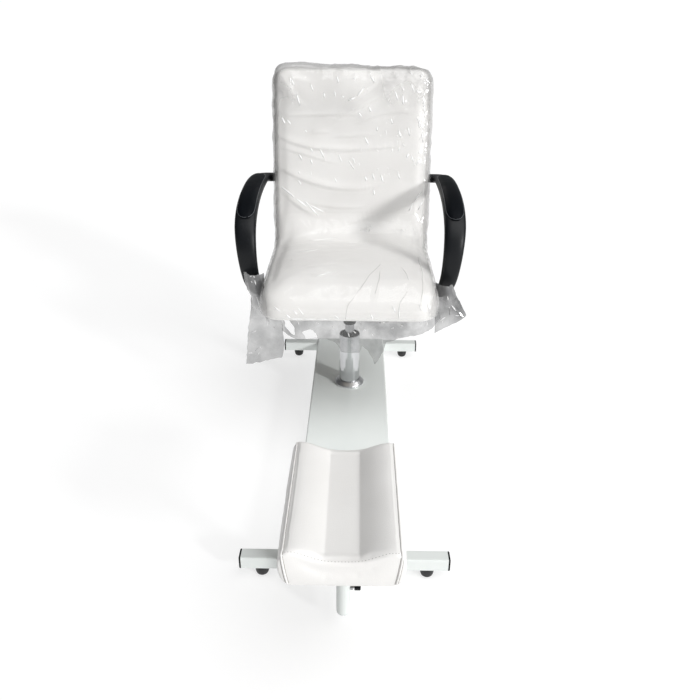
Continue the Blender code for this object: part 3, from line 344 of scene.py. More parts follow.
arm_black = finish(
    "arm_black_plastic", (0.0024, 0.0032, 0.0046), (0.0036, 0.0047, 0.0064), (0.40, 0.46), 30.0, 1600.0, 0.00004,
    sheen=0.27,
)
soft_black = finish(
    "soft_black_pad", (0.0028, 0.0036, 0.0050), (0.0042, 0.0053, 0.0072), (0.40, 0.50), 30.0, 1100.0, 0.00007,
    sheen=0.05,
)
# Lighter grey bead: a painted highlight along the pad's edge.
edge_highlight_black = finish(
    "painted_highlight_edge", (0.050, 0.055, 0.062), (0.085, 0.090, 0.098), (0.30, 0.40), 60.0, 1100.0, 0.00004
)
for side in ("left", "right"):
    for name, material, slot in (("arm", arm_black, "black_plastic"), ("arm_pad", soft_black, "arm_pad")):
        node = f"{name}_{side}"
        bm = merged(node)
        bmesh.ops.join_triangles(
            bm, faces=bm.faces, angle_face_threshold=0.35, angle_shape_threshold=1.2,
            cmp_seam=False, cmp_sharp=False, cmp_uvs=False, cmp_vcols=False, cmp_materials=False,
        )
        edge_line = rim(bm) if name == "arm_pad" else None
        moulded = piece(f"moulded_{node}", bm, material, "seat", slot, node)
        rounded(moulded, 2)
    bm = bmesh.new()
    bm.from_mesh(still(moulded))
    pad_top = BVHTree.FromBMesh(bm)
    bm.free()
    edge_line = [pad_top.find_nearest(point)[0] for point in edge_line]
    welt(f"arm_pad_bead_{side}", edge_line, 0.0008, edge_highlight_black, "seat", "arm_pad", closed=True)

# Seat cushion: white leatherette drawn over foam on the board, boxed all round, with a rounded
# front lip. The cover is blown out from a slightly smaller shape, its underside held to the board.
LIP_DEPTH = 0.075
LIP_ABOVE_BOARD = 0.020
LIP_PASSES = 90


def points_of(mesh):
    """A mesh's points and their normals, as arrays."""
    places = np.empty(3 * len(mesh.vertices))
    normals = np.empty(3 * len(mesh.vertices))
    mesh.vertices.foreach_get("co", places)
    mesh.vertices.foreach_get("normal", normals)
    return places.reshape(-1, 3), normals.reshape(-1, 3)


def set_points(mesh, places):
    """Moves a mesh's points."""
    mesh.vertices.foreach_set("co", places.ravel())
    mesh.update()


def skin(obj, voxel):
    """Remeshes a piece as one even closed skin."""
    modifier = obj.modifiers.new("skin", "REMESH")
    modifier.mode = "VOXEL"
    modifier.voxel_size = voxel
    mesh = still(obj)
    obj.modifiers.clear()
    mesh.shade_smooth()
    mesh.materials.clear()
    mesh.materials.append(obj.data.materials[0])
    obj.data = mesh
    return mesh


def finer(obj):
    """Smooths a piece and divides each face in four."""
    bm = bmesh.new()
    bm.from_mesh(obj.data)
    bmesh.ops.smooth_vert(bm, verts=bm.verts, factor=0.5, use_axis_x=True, use_axis_y=True, use_axis_z=True)
    bm.to_mesh(obj.data)
    bm.free()
    rounded(obj, 1)
    mesh = still(obj)
    obj.modifiers.clear()
    mesh.shade_smooth()
    obj.data = mesh


def soften(obj, passes, grow):
    """Rounds off a cover's edges, then lets it out again by a factor for each axis."""
    bm = bmesh.new()
    bm.from_mesh(obj.data)
    for _ in range(passes):
        bmesh.ops.smooth_vert(bm, verts=bm.verts, factor=0.5, use_axis_x=True, use_axis_y=True, use_axis_z=True)
    corners = [[f(v.co[i] for v in bm.verts) for i in range(3)] for f in (min, max)]
    middle = (Vector(corners[0]) + Vector(corners[1])) / 2
    bmesh.ops.scale(bm, vec=grow, verts=bm.verts, space=Matrix.Translation(-middle))
    bm.to_mesh(obj.data)
    bm.free()


def puff(obj, voxel, shrink, reach, held):
    """Blows up a padded cover by cloth pressure. It starts shrunk, the points that held marks stay
    where they are, and no other point swells further than reach or draws in by more than a third
    of that."""
    mesh = skin(obj, voxel)
    places, normals = points_of(mesh)
    free = 1.0 - held(places)
    start = places - normals * (shrink * free)[:, None]
    set_points(mesh, start)
    pinned = obj.vertex_groups.new(name="pinned")
    for index, share in enumerate(free):
        if share < 1.0:
            pinned.add([index], 1.0 - share, "REPLACE")
    cloth = obj.modifiers.new("cloth", "CLOTH")
    cloth.settings.quality = 5
    cloth.settings.use_pressure = True
    cloth.settings.uniform_pressure_force = 4.0
    cloth.settings.effector_weights.gravity = 0.0
    cloth.settings.vertex_group_mass = "pinned"
    for number in range(1, 21):
        scene.frame_set(number)
    moved, _ = points_of(still(obj))
    scene.frame_set(1)
    obj.modifiers.clear()
    obj.vertex_groups.clear()
    step = moved - start
    swell = (step * normals).sum(axis=1)
    slide = step - normals * swell[:, None]
    slide *= np.minimum(1.0, reach / np.maximum(np.linalg.norm(slide, axis=1), 1e-9))[:, None]
    step = slide + normals * np.clip(swell, -reach / 3, reach)[:, None]
    start = start + step * free[:, None]
    set_points(mesh, start)
    finer(obj)


def crease(spots, folds):
    """How far folds lift a surface at flat spots. A fold is (points, height, width): a bent line
    with a gentle upper side, a steep lower one and ends that fade out."""
    lift = np.zeros(len(spots))
    for line, height, width in folds:
        a, c = np.array(line[0]), np.array(line[-1])
        bend = (a + c) / 2 if len(line) == 2 else 2.0 * np.array(line[1]) - (a + c) / 2
        t = np.linspace(0.0, 1.0, 25)[:, None]
        path = (1 - t) ** 2 * a + 2 * t * (1 - t) * bend + t**2 * c
        run = np.gradient(path, axis=0)
        aside = np.stack([-run[:, 1], run[:, 0]], axis=1)
        aside /= np.linalg.norm(aside, axis=1)[:, None]
        offset = spots[:, None, :] - path[None, :, :]
        near = np.argmin((offset**2).sum(axis=2), axis=1)
        rows = np.arange(len(spots))
        side = (offset[rows, near] * aside[near]).sum(axis=1)
        ends = (near == 0) | (near == len(path) - 1)
        distance = np.where(ends, np.linalg.norm(offset[rows, near], axis=1), np.abs(side))
        spread = np.where(side > 0.0, 2.0 * width, 0.7 * width)
        fade = np.sin(np.pi * np.clip(t[near, 0], 0.02, 0.98)) ** 0.6
        lift += height * fade * np.exp(-((distance / spread) ** 2))
    return lift


white_leather = finish(
    "white_leatherette", (0.800, 0.787, 0.768), (0.835, 0.825, 0.808), (0.40, 0.50), 9.0, 520.0, 0.00018, cells=True
)
seat_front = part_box("seat_cushion")[0][1]
board_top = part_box("seat_board")[1][2]
seat = piece("seat_cover", merged("seat_cushion"), white_leather, "seat", "white_leather", "seat_cushion")
puff(seat, 0.006, 0.0010, 0.004, lambda at: np.clip((board_top + 0.006 - at[:, 2]) / 0.006, 0.0, 1.0))
soften(seat, 24, (1.012, 1.014, 1.035))
bm = bmesh.new()
bm.from_mesh(seat.data)
lip = [v for v in bm.verts if v.co.y < seat_front + LIP_DEPTH and v.co.z > board_top + LIP_ABOVE_BOARD]
for _ in range(LIP_PASSES):
    bmesh.ops.smooth_vert(bm, verts=lip, factor=0.5, use_axis_x=False, use_axis_y=True, use_axis_z=True)
bm.to_mesh(seat.data)
bm.free()

# Back cushion and rear pad: two leatherette cushions sewn edge to edge over the back board. The
# front one is loose enough to wrinkle across.
LEAN = math.radians(13.0)
UP = np.array((0.0, math.sin(LEAN), math.cos(LEAN)))
OUT = np.array((0.0, -math.cos(LEAN), math.sin(LEAN)))
BACK_FOOT = np.array((0.0, 0.588, 0.426))
BACK_FOLDS = (
    (((-0.212, 0.403), (-0.098, 0.407), (0.030, 0.410)), 0.0038, 0.006),
    (((-0.050, 0.398), (0.050, 0.446), (0.133, 0.489)), 0.0085, 0.011),
    (((-0.229, 0.347), (-0.080, 0.306), (0.162, 0.320)), 0.0050, 0.007),
    (((-0.226, 0.311), (-0.161, 0.294), (-0.052, 0.264)), 0.0024, 0.006),
    (((-0.227, 0.251), (-0.080, 0.194), (0.068, 0.193)), 0.0054, 0.008),
    (((-0.126, 0.353), (-0.068, 0.357)), 0.0022, 0.005),
    (((-0.052, 0.342), (0.062, 0.349)), 0.0022, 0.005),
    (((-0.222, 0.181), (-0.162, 0.132), (-0.102, 0.101)), 0.0040, 0.010),
    (((-0.140, 0.144), (-0.051, 0.130), (0.034, 0.131)), 0.0024, 0.006),
    (((-0.243, 0.034), (-0.102, 0.060), (0.069, 0.103)), 0.0065, 0.010),
    (((-0.140, 0.425), (-0.185, 0.470), (-0.215, 0.525)), 0.0036, 0.012),
    (((-0.010, 0.450), (0.040, 0.480), (0.080, 0.520)), 0.0030, 0.012),
    (((0.020, 0.385), (0.100, 0.412), (0.190, 0.420)), 0.0040, 0.010),
)
back = piece("back_cover", merged("back_cushion"), white_leather, "seat", "white_leather", "back_cushion")
puff(back, 0.006, 0.0010, 0.003, lambda at: np.clip((0.008 - (at - BACK_FOOT) @ OUT) / 0.008, 0.0, 1.0))
soften(back, 14, (1.010, 1.0, 0.988))
rear = piece("rear_cover", merged("back_rear_pad"), white_leather, "seat", "white_leather", "back_rear_pad")
puff(rear, 0.006, 0.0010, 0.004, lambda at: np.clip(((at - BACK_FOOT) @ OUT + 0.013) / 0.005, 0.0, 1.0))
soften(rear, 10, (1.008, 1.0, 0.988))

# Back seam: a round welt sewn in where the front and rear cushions of the back meet.
# It runs all the way round the back's border.


def skin_of(*objs):
    """A lookup of the nearest point on the skins of pieces."""
    bm = bmesh.new()
    for obj in objs:
        bm.from_mesh(obj.data)
    tree = BVHTree.FromBMesh(bm)
    bm.free()
    return tree


border = skin_of(back, rear)
seam = []
for i in range(180):
    turn = math.tau * i / 180
    away = Vector((math.cos(turn), 0.0, 0.0)) + Vector(UP) * math.sin(turn)
    hits = []
    for depth in (0.004, -0.016):
        centre = Vector(BACK_FOOT + UP * 0.285 + OUT * depth)
        hits.append(border.ray_cast(centre + away * 0.6, -away)[0])
    if all(hits):
        seam.append((hits[0] + hits[1]) / 2)
welt("back_seam_welt", seam, 0.0034, white_leather, "seat", "white_leather", closed=True)

# Crease roll: a soft leatherette roll tacked to the back board, which fills the angle between
# the back cushion and the rear of the seat with one hollow curve. The wrinkles of the front run
# down over it.
ROLL_HALF = 0.238
ROLL_COLUMNS = 120
ROLL_ROWS = 30
seat_skin, back_skin = skin_of(seat), skin_of(back)
bm = bmesh.new()
rings = []
for i in range(ROLL_COLUMNS + 1):
    x = ROLL_HALF * (2 * i / ROLL_COLUMNS - 1)
    low, rise, _, _ = seat_skin.ray_cast(Vector((x, 0.430, 0.60)), Vector((0.0, 0.0, -1.0)))
    face = Vector(BACK_FOOT + UP * 0.140)
    high, lean, _, _ = back_skin.ray_cast(Vector((x, face.y - 0.2, face.z)), Vector((0.0, 1.0, 0.0)))
    slope, fall = -rise.y / rise.z, -lean.z / lean.y
    depth = (high.z - low.z - slope * (high.y - low.y)) / (1.0 - slope * fall)
    pull = Vector((x, high.y - depth * fall, high.z - depth))
    low, high = low - rise * 0.0006, high - lean * 0.0006
    ring = []
    for k in range(ROLL_ROWS + 1):
        t = k / ROLL_ROWS
        ring.append(bm.verts.new(low * (1 - t) ** 2 + pull * 2 * t * (1 - t) + high * t**2))
    ring.append(bm.verts.new((x, 0.556, 0.500)))
    ring.append(bm.verts.new((x, 0.545, 0.440)))
    rings.append(ring)
for ring, other in zip(rings, rings[1:]):
    for j in range(len(ring)):
        k = (j + 1) % len(ring)
        bm.faces.new((ring[j], ring[k], other[k], other[j]))
bm.faces.new(reversed(rings[0]))
bm.faces.new(rings[-1])
bmesh.ops.recalc_face_normals(bm, faces=bm.faces)
roll_fill = piece("crease_roll", bm, white_leather, "seat", "white_leather")
for cover in (back, roll_fill):
    places, normals = points_of(cover.data)
    spots = np.stack([places[:, 0], (places - BACK_FOOT) @ UP], axis=1)
    front = np.clip((normals @ OUT - 0.3) / 0.5, 0.0, 1.0)
    set_points(cover.data, places + OUT * (front * crease(spots, BACK_FOLDS))[:, None])

# Footrest pad: white leatherette over foam with a shallow channel for the leg, a boxed side
# panel under piping, and a stitched seam across its front edge.
pad = piece("footrest_cover", merged("footrest_pad"), white_leather, "footrest_head", "white_leather", "footrest_pad")
pad_low, pad_high = (Vector(corner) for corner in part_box("footrest_pad"))
puff(pad, 0.004, 0.0010, 0.003, lambda at: np.clip((pad_low.z + 0.004 - at[:, 2]) / 0.004, 0.0, 1.0))

CHANNEL = 0.031
SHOULDER = 0.092
CHANNEL_FLOOR = pad_high.z - 0.021
places, normals = points_of(pad.data)
slope = np.clip((np.abs(places[:, 0]) - CHANNEL) / (SHOULDER - CHANNEL), 0.0, 1.0)
bent = CHANNEL_FLOOR + (pad_high.z - CHANNEL_FLOOR) * (1.0 - (1.0 - slope) ** 2.0)
ends = np.clip((np.minimum(places[:, 1] - pad_low.y, pad_high.y - places[:, 1]) - 0.006) / 0.02, 0.0, 1.0)
share = 0.85 * ends * np.clip((normals[:, 2] - 0.6) / 0.2, 0.0, 1.0) * (np.abs(places[:, 0]) < SHOULDER + 0.004)
places[:, 2] += share * (bent - places[:, 2])
set_points(pad.data, places)


def laid(tree, corners, step, lift):
    """Points along straight runs between corners, each laid on a skin and lifted off it."""
    line = []
    for a, b in zip(corners, corners[1:]):
        a, b = Vector(a), Vector(b)
        count = max(1, round((b - a).length / step))
        line += [a.lerp(b, i / count) for i in range(count)]
    line.append(Vector(corners[-1]))
    found = [tree.find_nearest(point) for point in line]
    return [place + normal * lift for place, normal, _, _ in found]


def pad_edge(sign, aside):
    """Corners along a side of the pad's top and down its front, from its middle line by a sign."""
    return [
        (sign * (0.103 + aside), pad_high.y, pad_high.z - 0.008),
        (sign * (0.1065 + aside), pad_high.y - 0.014, pad_high.z),
        (sign * (0.1065 + aside), pad_low.y + 0.014, pad_high.z),
        (sign * (0.1050 + aside), pad_low.y, pad_high.z - 0.008),
        (sign * (0.0960 + aside), pad_low.y, pad_low.z + 0.008),
    ]


PIPING = 0.0019
pad_skin = skin_of(pad)
for side, sign in (("left", -1), ("right", 1)):
    route = [(sign * 0.098, pad_high.y, pad_low.z + 0.010), *pad_edge(sign, 0.0)]
    line = laid(pad_skin, route, 0.006, 0.0004)
    welt(f"pad_piping_{side}", line, PIPING, white_leather, "footrest_head", "white_leather")

# Stitches: grey thread laid along both sides of the piping and in a row along the seam over the
# pad's front edge.
THREAD = 0.0005
thread = finish("grey_thread", (0.30, 0.285, 0.27), (0.42, 0.405, 0.39), (0.6, 0.8), 300.0, 3000.0, 0.00005)
for side, sign in (("left", -1), ("right", 1)):
    for place, aside in (("inner", -0.0030), ("outer", 0.0030)):
        line = laid(pad_skin, pad_edge(sign, aside), 0.006, 0.0)
        welt(f"pad_thread_{side}_{place}", line, THREAD, thread, "footrest_head", "white_leather")
seam = []
for i in range(35):
    x = -0.099 + 0.198 * i / 34
    rise = min(1.0, max(0.0, (abs(x) - CHANNEL) / (SHOULDER - CHANNEL)))
    rise = rise * rise * (3.0 - 2.0 * rise)
    seam.append((x, pad_low.y + 0.006, CHANNEL_FLOOR + 0.020 * rise + 0.002))
bm = bmesh.new()
row = [pad_skin.find_nearest(Vector(spot)) for spot in seam]
for i, (place, normal, _, _) in enumerate(row):
    run = (row[min(i + 1, len(row) - 1)][0] - row[max(i - 1, 0)][0]).normalized()
    turn = Matrix((run, normal.cross(run), normal)).transposed().to_4x4()
    bmesh.ops.create_icosphere(
        bm, subdivisions=1, radius=1.0,
        matrix=Matrix.Translation(place) @ turn @ Matrix.Diagonal((0.0015, 0.00055, 0.0005, 1.0)),
    )
piece("pad_stitches", bm, thread, "footrest_head", "white_leather")

# Film: the clear polyethylene bag that the seat and back are still wrapped in. It is one loose
# skin over the finished covers, filleted across the crease, then creased and crumpled.


def film_finish(name, dark, light, alpha, crumple):
    """Clear film: glossy, clouded in soft patches, with sharp upright crumples of a depth in metres.
    Its alpha is one value, or two for the thick and the thin patches."""
    material = finish(name, dark, light, (0.10, 0.18), 7.0, 34.0, crumple, sheen=1.0)
    tree = material.node_tree
    shader = tree.nodes["Principled BSDF"]
    shader.inputs["IOR"].default_value = 1.6
    if isinstance(alpha, tuple):
        patches = tree.nodes["patches"]
        patches.inputs["Scale"].default_value = 15.0
        thick = add(tree, "ShaderNodeMapRange", {"From Min": 0.36, "From Max": 0.64}, {"Value": patches.outputs["Fac"]})
        thick.inputs["To Min"].default_value, thick.inputs["To Max"].default_value = alpha
        tree.links.new(thick.outputs["Result"], shader.inputs["Alpha"])
    else:
        shader.inputs["Alpha"].default_value = alpha
    crumples = tree.nodes["grain"]
    crumples.noise_type = "RIDGED_MULTIFRACTAL"
    where = tree.nodes.new("ShaderNodeTexCoord").outputs["Object"]
    drawn = add(tree, "ShaderNodeMapping", {"Scale": (1.0, 1.0, 0.45)}, {"Vector": where})
    tree.links.new(drawn.outputs["Vector"], crumples.inputs["Vector"])
    return material


def biggest_shell(bm):
    """Deletes all but the largest connected shell, so that no skin is left inside."""
    unseen = set(bm.faces)
    shells = []
    while unseen:
        shell = [unseen.pop()]
        for face in shell:
            for edge in face.edges:
                for other in edge.link_faces:
                    if other in unseen:
                        unseen.remove(other)
                        shell.append(other)
        shells.append(shell)
    shells.sort(key=len)
    bmesh.ops.delete(bm, geom=[face for shell in shells[:-1] for face in shell], context="FACES")


def ridged(places, scale, stretch=(1.0, 1.0, 1.0)):
    """Crumple height from 0 to 1 at each point: sharp crests between soft hollows."""
    spots = places * np.array(stretch) * scale
    return np.array([1.0 - abs(noise.noise(spot)) * 2.0 for spot in spots])


FILM_GAP = 0.0022
FILM_MESH = 0.0072
clear_film = film_finish("clear_film", (0.80, 0.79, 0.78), (0.93, 0.925, 0.915), 0.26, 0.0007)
tree = clear_film.node_tree
shader = tree.nodes["Principled BSDF"]
# Greyer, denser film where the attribute is high: along the cushions' sides and top this is painted shade, together
# with film seen edge-on; up the back it only turns greyer towards the top.
greying = add(tree, "ShaderNodeAttribute", attribute_name="edge_shade_and_top_grey").outputs["Fac"]
tint = shader.inputs["Base Color"].links[0].from_socket
grey = add(tree, "ShaderNodeMix", links={"Factor": greying, "A": tint}, data_type="RGBA")
grey.inputs["B"].default_value = (0.36, 0.355, 0.35, 1.0)
tree.links.new(grey.outputs["Result"], shader.inputs["Base Color"])
thick = add(tree, "ShaderNodeMapRange", {"To Min": 0.22, "To Max": 0.60}, {"Value": greying})
tree.links.new(thick.outputs["Result"], shader.inputs["Alpha"])
bm = merged("seat_board", "back_board")
for cover in (seat, back, rear, roll_fill):
    bm.from_mesh(cover.data)
wrap = piece("film_wrap", bm, clear_film, "seat", "clear_film")
skin(wrap, FILM_MESH)
bm = bmesh.new()
bm.from_mesh(wrap.data)
biggest_shell(bm)
crease_line = [v for v in bm.verts if 0.492 < v.co.y < 0.56 and 0.455 < v.co.z < 0.53]
for _ in range(40):
    bmesh.ops.smooth_vert(bm, verts=crease_line, factor=0.5, use_axis_x=False, use_axis_y=True, use_axis_z=True)
under = [f for f in bm.faces if f.normal.z < -0.35 and f.calc_center_median().z < 0.45]
bmesh.ops.delete(bm, geom=under, context="FACES")
bm.to_mesh(wrap.data)
bm.free()
finer(wrap)
places, normals = points_of(wrap.data)
up = (places - BACK_FOOT) @ UP
on_back = np.clip((up - 0.03) / 0.03, 0.0, 1.0) * np.clip((normals @ OUT - 0.3) / 0.4, 0.0, 1.0)
on_seat = (1.0 - np.clip((up - 0.0) / 0.03, 0.0, 1.0)) * np.clip((normals[:, 2] - 0.4) / 0.4, 0.0, 1.0)
top = np.clip((normals @ UP - 0.5) / 0.4, 0.0, 1.0) * (up > 0.3)
edge = np.clip((np.abs(normals[:, 0]) - 0.35) / 0.4, 0.0, 1.0) + top
rng = np.random.default_rng(7)
SEAT_FOLDS = (
    (((-0.144, 0.439), (-0.031, 0.472)), 0.0030, 0.0042),
    (((-0.158, 0.337), (-0.082, 0.357)), 0.0030, 0.0040),
    (((-0.011, 0.427), (0.023, 0.434)), 0.0028, 0.0040),
    (((-0.173, 0.268), (-0.160, 0.268)), 0.0028, 0.0040),
    (((-0.102, 0.151), (-0.032, 0.191)), 0.0022, 0.0050),
    (((-0.120, 0.205), (-0.020, 0.230)), 0.0022, 0.0060),
)
GLINT_FIELDS = (
    (26, (-0.19, 0.20), (0.38, 0.53)),
    (30, (0.10, 0.215), (0.22, 0.53)),
    (34, (0.205, 0.238), (0.24, 0.53)),
    (18, (-0.20, 0.10), (0.20, 0.36)),
    (10, (0.03, 0.07), (0.035, 0.065)),
    (9, (0.14, 0.21), (0.035, 0.060)),
)
strokes = []
for count, xs, ups in GLINT_FIELDS:
    for _ in range(count):
        start = np.array((rng.uniform(*xs), rng.uniform(*ups)))
        turn = math.radians(90.0 + rng.normal(14.0, 24.0))
        end = start + rng.uniform(0.006, 0.022) * np.array((math.cos(turn), math.sin(turn)))
        strokes.append(((tuple(start), tuple(end)), rng.uniform(0.0012, 0.0024), rng.uniform(0.0036, 0.0052)))
flat_back = np.stack([places[:, 0], up], axis=1)
lift = np.zeros(len(places))
chosen = on_back > 0.0
lift[chosen] = on_back[chosen] * crease(flat_back[chosen], strokes)
chosen = on_seat > 0.0
lift[chosen] += on_seat[chosen] * crease(places[chosen][:, :2], SEAT_FOLDS)
loose = 0.0015 * ridged(places, 18.0, (1.0, 1.0, 0.55)) + 0.0008 * ridged(places, 46.0)
slack = 0.003 * ridged(places, 7.0, (1.0, 0.0, 0.0)) + 0.005 * np.clip(-places[:, 0] / 0.2, -0.6, 1.0)
standoff = edge * (0.0012 + 0.0026 * ridged(places, 22.0)) + top * slack
set_points(wrap.data, places + normals * (FILM_GAP + lift + loose + standoff)[:, None])
# Grey of the film: painted shade along the sides and top, and a grey that grows towards the top of the back in crumpled
# patches.
top_grey = on_back * np.clip((up - 0.30) / 0.20, 0.0, 1.0) * (0.25 + 0.30 * ridged(places, 9.0))
edge_shade_and_top_grey = np.clip(0.85 * edge + top_grey, 0.0, 1.0)
wrap.data.attributes.new("edge_shade_and_top_grey", "FLOAT", "POINT").data.foreach_set("value", edge_shade_and_top_grey)


def painted_glints(name, tree, strokes, material):
    """Painted glints on a skin: slim white spindles that stand in for highlights, each (start, end, half width)."""
    bm = bmesh.new()
    for start, end, half in strokes:
        (a, na, _, _), (b, nb, _, _) = tree.find_nearest(Vector(start)), tree.find_nearest(Vector(end))
        run, normal = (b - a).normalized(), (na + nb).normalized()
        aside = normal.cross(run).normalized()
        turn = Matrix((run, aside, run.cross(aside))).transposed().to_4x4()
        size = Matrix.Diagonal(((b - a).length / 2, half, 0.25 * half, 1.0))
        place = Matrix.Translation((a + b) / 2 + normal * 0.0002)
        bmesh.ops.create_icosphere(bm, subdivisions=1, radius=1.0, matrix=place @ turn @ size)
    marks = piece(name, bm, material, "seat", "clear_film")
    marks.visible_shadow = False
    return marks


BACK_GLINT_STROKES = (
    (-0.184, 0.512, -0.174, 0.490), (-0.171, 0.472, -0.158, 0.428), (-0.128, 0.500, -0.118, 0.475),
    (-0.088, 0.472, -0.084, 0.456), (-0.046, 0.526, -0.042, 0.498), (-0.015, 0.448, 0.011, 0.458),
    (0.014, 0.461, 0.037, 0.489), (0.056, 0.526, 0.070, 0.499), (0.130, 0.480, 0.140, 0.449),
    (0.153, 0.468, 0.157, 0.434), (0.175, 0.503, 0.189, 0.468), (0.051, 0.430, 0.058, 0.417),
    (-0.222, 0.402, -0.209, 0.377), (-0.205, 0.393, -0.189, 0.377), (-0.145, 0.361, -0.139, 0.356),
    (-0.099, 0.307, -0.085, 0.278), (-0.129, 0.310, -0.119, 0.294), (-0.129, 0.277, -0.122, 0.258),
    (-0.041, 0.291, -0.031, 0.265), (-0.011, 0.275, 0.010, 0.243), (-0.166, 0.290, -0.153, 0.271),
    (0.041, 0.226, 0.048, 0.210), (0.091, 0.233, 0.099, 0.204), (0.142, 0.244, 0.153, 0.214),
    (0.064, 0.237, 0.071, 0.213), (-0.170, 0.211, -0.157, 0.198), (0.118, 0.399, 0.125, 0.380),
    (0.172, 0.374, 0.180, 0.345), (0.142, 0.364, 0.153, 0.338), (0.205, 0.390, 0.209, 0.367),
    (0.185, 0.293, 0.196, 0.267), (0.039, 0.344, 0.053, 0.318), (0.223, 0.453, 0.228, 0.409),
    (0.219, 0.358, 0.227, 0.326), (0.069, 0.187, 0.072, 0.167), (-0.228, 0.194, -0.178, 0.158),
    (-0.178, 0.158, -0.137, 0.128), (-0.150, 0.152, -0.102, 0.101), (-0.136, 0.138, -0.082, 0.112),
    (0.229, 0.182, 0.199, 0.148), (0.199, 0.148, 0.183, 0.118), (0.237, 0.155, 0.214, 0.121),
)
FRONT_GLINT_STROKES = (
    ((-0.203, 0.08, 0.427), (-0.182, 0.08, 0.412), 0.0024), ((-0.170, 0.08, 0.407), (-0.156, 0.08, 0.389), 0.0028),
    ((-0.139, 0.08, 0.425), (-0.118, 0.08, 0.401), 0.0020), ((-0.150, 0.08, 0.418), (-0.138, 0.08, 0.404), 0.0020),
    ((-0.040, 0.08, 0.405), (-0.024, 0.08, 0.386), 0.0020), ((0.115, 0.08, 0.433), (0.126, 0.08, 0.413), 0.0022),
    ((0.134, 0.08, 0.434), (0.135, 0.08, 0.388), 0.0020), ((0.187, 0.08, 0.440), (0.193, 0.08, 0.417), 0.0022),
    ((0.213, 0.08, 0.449), (0.217, 0.08, 0.408), 0.0020), ((0.057, 0.08, 0.410), (0.066, 0.08, 0.388), 0.0026),
    ((-0.160, 0.08, 0.392), (-0.120, 0.08, 0.386), 0.0022), ((-0.125, 0.08, 0.387), (-0.085, 0.08, 0.384), 0.0022),
    ((-0.090, 0.08, 0.384), (-0.050, 0.08, 0.384), 0.0020),
)
HAIRLINES = (
    ((0.086, 0.234, 0.49), (0.074, 0.202, 0.49), (0.057, 0.171, 0.49), (0.040, 0.126, 0.49), (0.023, 0.090, 0.48)),
    ((0.014, 0.079, 0.462), (0.009, 0.079, 0.453), (-0.004, 0.078, 0.430), (-0.009, 0.080, 0.393)),
    ((0.084, 0.188, 0.49), (0.081, 0.142, 0.49), (0.072, 0.105, 0.49), (0.068, 0.090, 0.48)),
    ((0.146, 0.216, 0.49), (0.156, 0.182, 0.49), (0.163, 0.145, 0.49)),
    ((0.158, 0.098, 0.48), (0.146, 0.080, 0.465), (0.136, 0.078, 0.444), (0.133, 0.078, 0.402)),
    ((0.203, 0.330, 0.49), (0.206, 0.246, 0.49), (0.206, 0.153, 0.49), (0.199, 0.085, 0.475), (0.191, 0.080, 0.430)),
)
# White spindles: painted highlights, the key light's glints on the crumpled film.
glint_film = film_finish("white_glint_film", (0.95, 0.95, 0.95), (0.98, 0.98, 0.98), 0.86, 0.0002)
# Grey cords along the hairline creases: painted shade of the creases.
grey_film = film_finish("crease_shade_film", (0.40, 0.39, 0.38), (0.52, 0.51, 0.50), 0.40, 0.0002)
wrap_skin = skin_of(wrap)


def on_front(x, height):
    """A place just off the front of the back, from its offset and its height up the back."""
    return BACK_FOOT + np.array((x, 0.0, 0.0)) + UP * height + OUT * 0.09


lines = []
for (start, end), _, _ in strokes:
    if rng.uniform() < 0.75:
        lines.append((on_front(*start), on_front(*end), rng.uniform(0.0012, 0.0026)))
for x0, up0, x1, up1 in BACK_GLINT_STROKES:
    lines.append((on_front(x0, up0), on_front(x1, up1), rng.uniform(0.0022, 0.0036)))
for fold, _, _ in SEAT_FOLDS[:5]:
    lines.append(((*fold[0], 0.50), (*fold[-1], 0.50), 0.0018))
glints = painted_glints("film_glints", wrap_skin, [*lines, *FRONT_GLINT_STROKES], glint_film)
for number, route in enumerate(HAIRLINES, 1):
    line = laid(wrap_skin, route, 0.008, 0.0001)
    welt(f"film_hairline_{number}", line, 0.00042, grey_film, "seat", "clear_film")

# Film ends: the bag's torn mouth. It hangs in doubled layers from the foot of each arm,
# where it is bunched thick, and from under the front of the seat, where it is torn through.
# Its dark grey is partly painted shade and painted reflection of darker surroundings, and
# partly the doubled layers; the right tail has a darker copy, as painted shade.
FRAY = 0.0026


def along(line, share):
    """The point at a share of the way along a bent line."""
    line = np.array(line)
    marks = np.concatenate([[0.0], np.cumsum(np.linalg.norm(np.diff(line, axis=0), axis=1))])
    return np.array([np.interp(share * marks[-1], marks, line[:, i]) for i in range(line.shape[1])])


def within(spot, outline):
    """True if a flat spot is inside a closed outline."""
    inside = False
    for (x0, z0), (x1, z1) in zip(outline, outline[1:] + outline[:1]):
        if (z0 > spot[1]) != (z1 > spot[1]) and spot[0] < x0 + (x1 - x0) * (spot[1] - z0) / (z1 - z0):
            inside = not inside
    return inside


